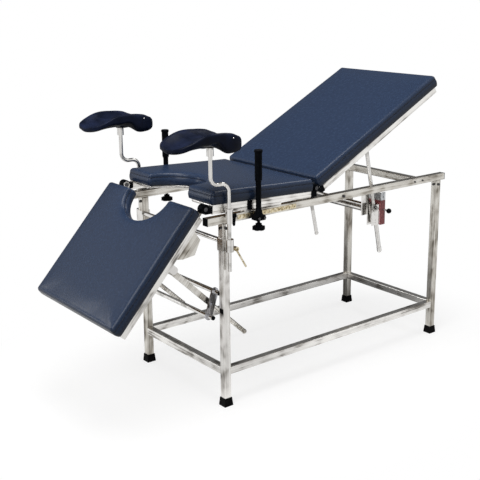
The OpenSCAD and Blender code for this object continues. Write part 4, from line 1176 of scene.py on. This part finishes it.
@dataclass
class Metalwork:
    """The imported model's own rigid nodes: each gets its finish, and the tubes' square edges a small round."""

    tube_edge: float = 0.0022
    edge_segments: int = 2
    edge_angle: float = 50.0
    weld: float = 0.00001
    # Darker, browner copy of the steel colours: painted shade on tubes that lie away from the light, and on the
    # gussets.
    painted_shade: tuple[str, ...] = ("D9D6CF", "B7B2A9", "8A847A", "4E4A44")
    tubes: tuple[Tube, ...] = (
        Tube(("near_front_leg",), Grain.Z),
        # The far and rear legs, the top rails and the rear cross rail get the painted shade colours.
        Tube(("far_front_leg", "near_rear_leg", "far_rear_leg"), Grain.Z, painted_shade=True),
        Tube(("bottom_side_rails",), Grain.X),
        Tube(("top_side_rails",), Grain.X, painted_shade=True),
        Tube(("bottom_end_rails",), Grain.Y),
        Tube(("rear_cross_rail",), Grain.Y, painted_shade=True),
        Tube(("seat_side_tubes", "seat_risers"), Grain.X, SEAT_TILT),
        Tube(("seat_rear_tube",), Grain.Y),
        Tube(("back_side_tubes",), Grain.X, BACK_TILT),
        Tube(("back_end_tubes",), Grain.Y),
        Tube(("leg_side_tubes",), Grain.X, LEG_TILT),
        Tube(("leg_end_tube",), Grain.Y),
    )

    def tube_finish(self, tube: Tube) -> Finish:
        """The stainless finish whose marks follow a tube.

        Args:
            tube: The tube.

        Returns:
            Its finish, named for its direction.
        """
        name = f"stainless_{tube.grain.name}_{abs(tube.tilt):.0f}"
        # A tube that gets painted shade takes the darker copy of the steel colours.
        if tube.painted_shade:
            return PolishedStainless(f"{name}_dull", tube.grain, tube.tilt, *self.painted_shade)
        return PolishedStainless(name, tube.grain, tube.tilt)

    def round_edges(self, piece: bpy.types.Object) -> None:
        """Rounds the edges of a node's mesh by live modifiers, which leave its own points alone.

        Args:
            piece: The node.
        """
        weld = piece.modifiers.new("weld", "WELD")
        weld.merge_threshold = self.weld
        bevel = piece.modifiers.new("edges", "BEVEL")
        bevel.width = self.tube_edge
        bevel.segments = self.edge_segments
        bevel.limit_method = "ANGLE"
        bevel.angle_limit = math.radians(self.edge_angle)
        bevel.harden_normals = False

    def finishes(self) -> dict[str, Finish]:
        """Finishes of the nodes that are neither tube, plain chrome nor plain black plastic.

        Returns:
            The finish by the node's name.
        """
        yellow, wood = YellowPassivated("yellow_passivated"), Plywood("plywood")
        # The gussets take the first three of the darker painted shade colours as well.
        sheet = ("stainless_sheet", Grain.X, LEG_TILT, *self.painted_shade[:3])
        flat = ("stainless_flat", Grain.X, LEG_TILT, "E3E0DA", "C6C2BA", "8A847A")
        rubber = ("moulded_black_rubber", "0F0F10", "1D1D1E", (0.50, 0.65), 0.002, 0.00015)
        return {
            "rubber_feet": MouldedPlastic(*rubber),
            "seat_board": wood, "back_board": wood, "leg_board": wood,
            "near_t_handle": yellow, "far_t_handle": yellow, "holed_strips": yellow,
            "lock_plate": RedEnamel("red_enamel"),
            "link_plates": BrightChrome("dull_plate", "B9B9BE", "94959A", 0.03),
            "leg_gussets": PolishedStainless(*sheet),
            "leg_stays": PolishedStainless(*flat),
            "frame_bolts": BrightChrome("blackened_steel", "4C4C4E", "38383A", 0.01),
            "lock_knob": BallKnob("ball_knob"),
        }

    def build(self) -> None:
        """Dresses every rigid node."""
        nodes = frame["nodes"]
        chosen = self.finishes()
        for tube in self.tubes:
            for name in tube.nodes:
                chosen[name] = self.tube_finish(tube)
                self.round_edges(nodes[name])
        chrome, plastic = BrightChrome("bright_chrome"), MouldedPlastic("moulded_black_plastic")
        slots = {row["node"]: row["material_slot"] for row in frame["record"]["subparts"]}
        for name, piece in nodes.items():
            finish = chosen.get(name) or (plastic if slots[name] == "black_plastic" else chrome)
            dress(piece, finish)
            LOG.info("%s: %s", name, finish.name)


@dataclass(frozen=True)
class Lamp:
    """A square soft lamp: its place, the length of its side and its power in watts."""

    name: str
    place: tuple[float, float, float]
    size: float
    power: float

    def build(self, aim: tuple[float, float, float]) -> None:
        """Hangs the lamp.

        Args:
            aim: The place that it points at.
        """
        data = bpy.data.lights.new(self.name, "AREA")
        data.shape = "SQUARE"
        data.size = self.size
        data.energy = self.power
        lamp = bpy.data.objects.new(self.name, data)
        bpy.context.scene.collection.objects.link(lamp)
        lamp.location = self.place
        lamp.rotation_euler = (Vector(aim) - Vector(self.place)).to_track_quat("-Z", "Y").to_euler()


@dataclass
class Studio:
    """Floor, light and camera at the photograph's view.

    The room, as surfaces mirror it, and the ground, as they mirror the floor, each have a mean brightness and
    how much brighter the middle of a wall is.
    """

    eye: tuple[float, float, float] = (-2.2659, -2.8524, 1.5707)
    yaw: float = 39.752
    pitch: float = 14.196
    focal_pixels: float = 888.93
    frame_pixels: float = 480.0
    centre_pixels: tuple[float, float] = (275.0, 215.0)
    sensor: float = 36.0
    sight: float = 100.0
    floor_half: float = 12.0
    floor_shade: float = 0.24
    floor_glow: float = 0.79
    fade: tuple[float, float] = (0.9, 1.45)
    squeeze: float = 1.4
    sky: float = 0.22
    walls: float = 39.8
    curtain: float = 50.0
    curtain_edge: tuple[float, float] = (0.35, 0.9)
    curtain_shade: float = 0.13
    room: tuple[float, float] = (0.68, 0.32)
    ground: tuple[float, float] = (0.86, 0.12)
    aim: tuple[float, float, float] = (0.0, 0.0, 0.6)
    lamps: tuple[Lamp, ...] = (
        Lamp("top", (-0.5, -0.4, 3.4), 2.0, 72.0),
        Lamp("edge", (-2.9, -0.9, 3.0), 2.2, 64.0),
        Lamp("rim", (2.0, 0.2, 3.2), 1.0, 15.0),
        Lamp("side", (-2.6, 2.2, 1.3), 0.7, 6.0),
    )

    def mirrored(self, tree: Tree, vector: Socket, mean: float, change: float) -> Socket:
        """Brightness of the room where a surface mirrors it: four pale walls and a dark curtain before one.

        The walls are mean + change * cos(4 (a - walls)) at azimuth a, so the corners are dark, and the
        curtain hangs where cos(a - curtain) is large.

        Args:
            tree: The node tree.
            vector: Direction or place that is looked at.
            mean: Mean brightness of the walls.
            change: How much brighter their middles are.

        Returns:
            The brightness output.
        """
        parts = add(tree, "ShaderNodeSeparateXYZ", {0: vector})
        azimuth = add(tree, "ShaderNodeMath", {0: parts.outputs[1], 1: parts.outputs[0]}, operation="ARCTAN2")
        away = add(tree, "ShaderNodeMath", {0: azimuth.outputs[0], 1: math.radians(self.curtain)},
                   operation="SUBTRACT")
        fourfold = add(tree, "ShaderNodeMath", {
            0: azimuth.outputs[0], 1: 4.0, 2: -4.0 * math.radians(self.walls)}, operation="MULTIPLY_ADD")
        wave = add(tree, "ShaderNodeMath", {0: fourfold.outputs[0]}, operation="COSINE")
        walls = add(tree, "ShaderNodeMath", {0: wave.outputs[0], 1: change, 2: mean},
                    operation="MULTIPLY_ADD")
        facing = add(tree, "ShaderNodeMath", {0: away.outputs[0]}, operation="COSINE")
        first, last = self.curtain_edge
        curtain = add(tree, "ShaderNodeMapRange", {0: facing.outputs[0], 1: first, 2: last},
                      interpolation_type="SMOOTHSTEP")
        return add(tree, "ShaderNodeMix", {0: curtain.outputs[0], 2: walls.outputs[0], 3: self.curtain_shade},
                   data_type="FLOAT").outputs[0]

    def floor_surface(self, tree: Tree) -> Socket:
        """The floor's shader: it takes the shadow near the table and fades to white round it.

        Args:
            tree: The floor's node tree.

        Returns:
            The shader output.
        """
        white = linear("FFFFFF")
        paths = add(tree, "ShaderNodeLightPath")
        seen = paths.outputs["Is Camera Ray"]
        glow = add(tree, "ShaderNodeMath", {0: seen, 1: self.floor_glow}, operation="MULTIPLY")
        matt = add(tree, "ShaderNodeBsdfDiffuse", {"Color": (*[self.floor_shade] * 3, 1.0)})
        light = add(tree, "ShaderNodeEmission", {"Color": white, "Strength": glow.outputs[0]})
        both = add(tree, "ShaderNodeAddShader", {0: matt.outputs[0], 1: light.outputs[0]})
        blank = add(tree, "ShaderNodeEmission", {"Color": white, "Strength": seen})
        coords = add(tree, "ShaderNodeTexCoord").outputs["Object"]
        oval = add(tree, "ShaderNodeVectorMath", {0: coords, 1: (1.0, self.squeeze, 1.0)},
                   operation="MULTIPLY")
        away = add(tree, "ShaderNodeVectorMath", {0: oval.outputs[0]}, operation="LENGTH").outputs["Value"]
        first, last = self.fade
        fade = add(tree, "ShaderNodeMapRange", {0: away, 1: first, 2: last}, interpolation_type="SMOOTHSTEP")
        plain = add(tree, "ShaderNodeMixShader", {
            0: fade.outputs[0], 1: both.outputs[0], 2: blank.outputs[0]})
        mirror = add(tree, "ShaderNodeEmission", {
            "Color": white, "Strength": self.mirrored(tree, coords, *self.ground)})
        return add(tree, "ShaderNodeMixShader", {
            0: paths.outputs["Is Glossy Ray"], 1: plain.outputs[0], 2: mirror.outputs[0]}).outputs[0]

    def build_floor(self) -> None:
        """A pale floor that the camera sees as nearly white outside the shadow."""
        h = self.floor_half
        corners = np.array([[-h, -h, 0], [h, -h, 0], [h, h, 0], [-h, h, 0]], float)
        floor = make_piece("floor", corners, [[0, 1, 2, 3]])
        made = bpy.data.materials.new("pale_floor")
        made.use_nodes = True
        tree = made.node_tree
        tree.nodes.clear()
        add(tree, "ShaderNodeOutputMaterial", {"Surface": self.floor_surface(tree)})
        floor.data.materials.append(made)

    def build_world(self) -> None:
        """An even sky: white to the camera, softer where it lights, and the room where it is mirrored."""
        world = bpy.data.worlds.new("studio")
        bpy.context.scene.world = world
        world.use_nodes = True
        tree = world.node_tree
        tree.nodes.clear()
        paths = add(tree, "ShaderNodeLightPath")
        seen = add(tree, "ShaderNodeMath", {
            0: paths.outputs["Is Camera Ray"], 1: paths.outputs["Is Transmission Ray"]}, operation="MAXIMUM")
        even = add(tree, "ShaderNodeMapRange", {0: seen.outputs[0], 3: self.sky, 4: 1.0})
        direction = add(tree, "ShaderNodeTexCoord").outputs["Generated"]
        mirror = self.mirrored(tree, direction, *self.room)
        strength = add(tree, "ShaderNodeMix", {
            0: paths.outputs["Is Glossy Ray"], 2: even.outputs[0], 3: mirror}, data_type="FLOAT")
        sky = add(tree, "ShaderNodeBackground", {"Color": linear("FFFFFF"), "Strength": strength.outputs[0]})
        add(tree, "ShaderNodeOutputWorld", {"Surface": sky.outputs[0]})

    def build_camera(self) -> None:
        """The photograph's camera, with the shift that its framing needs."""
        data = bpy.data.cameras.new("camera")
        camera = bpy.data.objects.new("camera", data)
        bpy.context.scene.collection.objects.link(camera)
        data.sensor_width = self.sensor
        data.lens = self.focal_pixels / self.frame_pixels * self.sensor
        data.shift_x = (self.frame_pixels / 2 - self.centre_pixels[0]) / self.frame_pixels
        data.shift_y = (self.centre_pixels[1] - self.frame_pixels / 2) / self.frame_pixels
        data.clip_end = self.sight
        camera.location = self.eye
        yaw, pitch = math.radians(self.yaw), math.radians(self.pitch)
        look = Vector((math.sin(yaw) * math.cos(pitch), math.cos(yaw) * math.cos(pitch), -math.sin(pitch)))
        camera.rotation_mode = "QUATERNION"
        camera.rotation_quaternion = look.to_track_quat("-Z", "Y")
        bpy.context.scene.camera = camera

    def build(self) -> None:
        """Builds the studio."""
        self.build_floor()
        self.build_world()
        for lamp in self.lamps:
            lamp.build(self.aim)
        self.build_camera()
        bpy.context.scene.view_settings.view_transform = "Standard"


@dataclass(frozen=True)
class Upholstery:
    """The three cushions on the frames of their sections.

    Each start and base is where a cushion's nearer edge and underside lie from its section's joint. The seat's
    own frame lies at its front edge, which is found from the leg section's joint. A size is a length and a
    thickness, and an opening is half a width and a depth.
    """

    seat_ahead: float = 0.0315
    seat_rise: float = 0.061
    back_start: float = 0.019
    back_base: float = -0.012
    leg_start: float = -0.0244
    leg_base: float = 0.0082
    back_size: tuple[float, float] = (0.786, 0.052)
    seat_size: tuple[float, float] = (0.497, 0.050)
    leg_size: tuple[float, float] = (0.522, 0.050)
    seat_opening: tuple[float, float] = (0.133, 0.150)
    leg_opening: tuple[float, float] = (0.140, 0.117)

    def build(self) -> None:
        """Builds the cushions in order."""
        pivot = joint_place("leg_tilt")
        back = Placement(joint_place("back_tilt"), BACK_TILT)
        seat = Placement((pivot[0] + self.seat_ahead, 0.0, pivot[2] + self.seat_rise), SEAT_TILT)
        leg = Placement(pivot, LEG_TILT)
        for cushion in (
            Cushion("back_cushion", "back_pad", "back_section", back, self.back_start, self.back_base, 1,
                    *self.back_size),
            Cushion("seat_cushion", "seat_pad", "base_frame", seat, 0.0, -self.seat_size[1], 1,
                    *self.seat_size, opening_half=self.seat_opening[0], opening_depth=self.seat_opening[1]),
            Cushion("leg_cushion", "leg_pad", "leg_section", leg, self.leg_start, self.leg_base, -1,
                    *self.leg_size, opening_half=self.leg_opening[0], opening_depth=self.leg_opening[1]),
        ):
            cushion.build()


@dataclass(frozen=True)
class LegRests:
    """The two leg rests over the collars of their holders, each a little towards the foot end and turned."""

    near_ahead: float = -0.037
    far_ahead: float = -0.017
    turn: float = 6.0

    def build(self) -> None:
        """Builds the near rest and the far one."""
        for word, ahead in (("near", self.near_ahead), ("far", self.far_ahead)):
            low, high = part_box(f"{word}_holder_collar")
            holder = ((low.x + high.x) / 2, (low.y + high.y) / 2)
            rest = Saddle(f"{word}_leg_rest", f"{word}_saddle", f"{word}_holder_saddle", holder, ahead, self.turn)
            rest.build()


def main() -> None:
    """Builds the table's looks in order."""
    logging.basicConfig(level=logging.INFO, format="%(message)s")
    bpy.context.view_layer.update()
    Studio().build()
    Metalwork().build()
    Upholstery().build()
    LegRests().build()


if __name__ == "__main__":
    main()
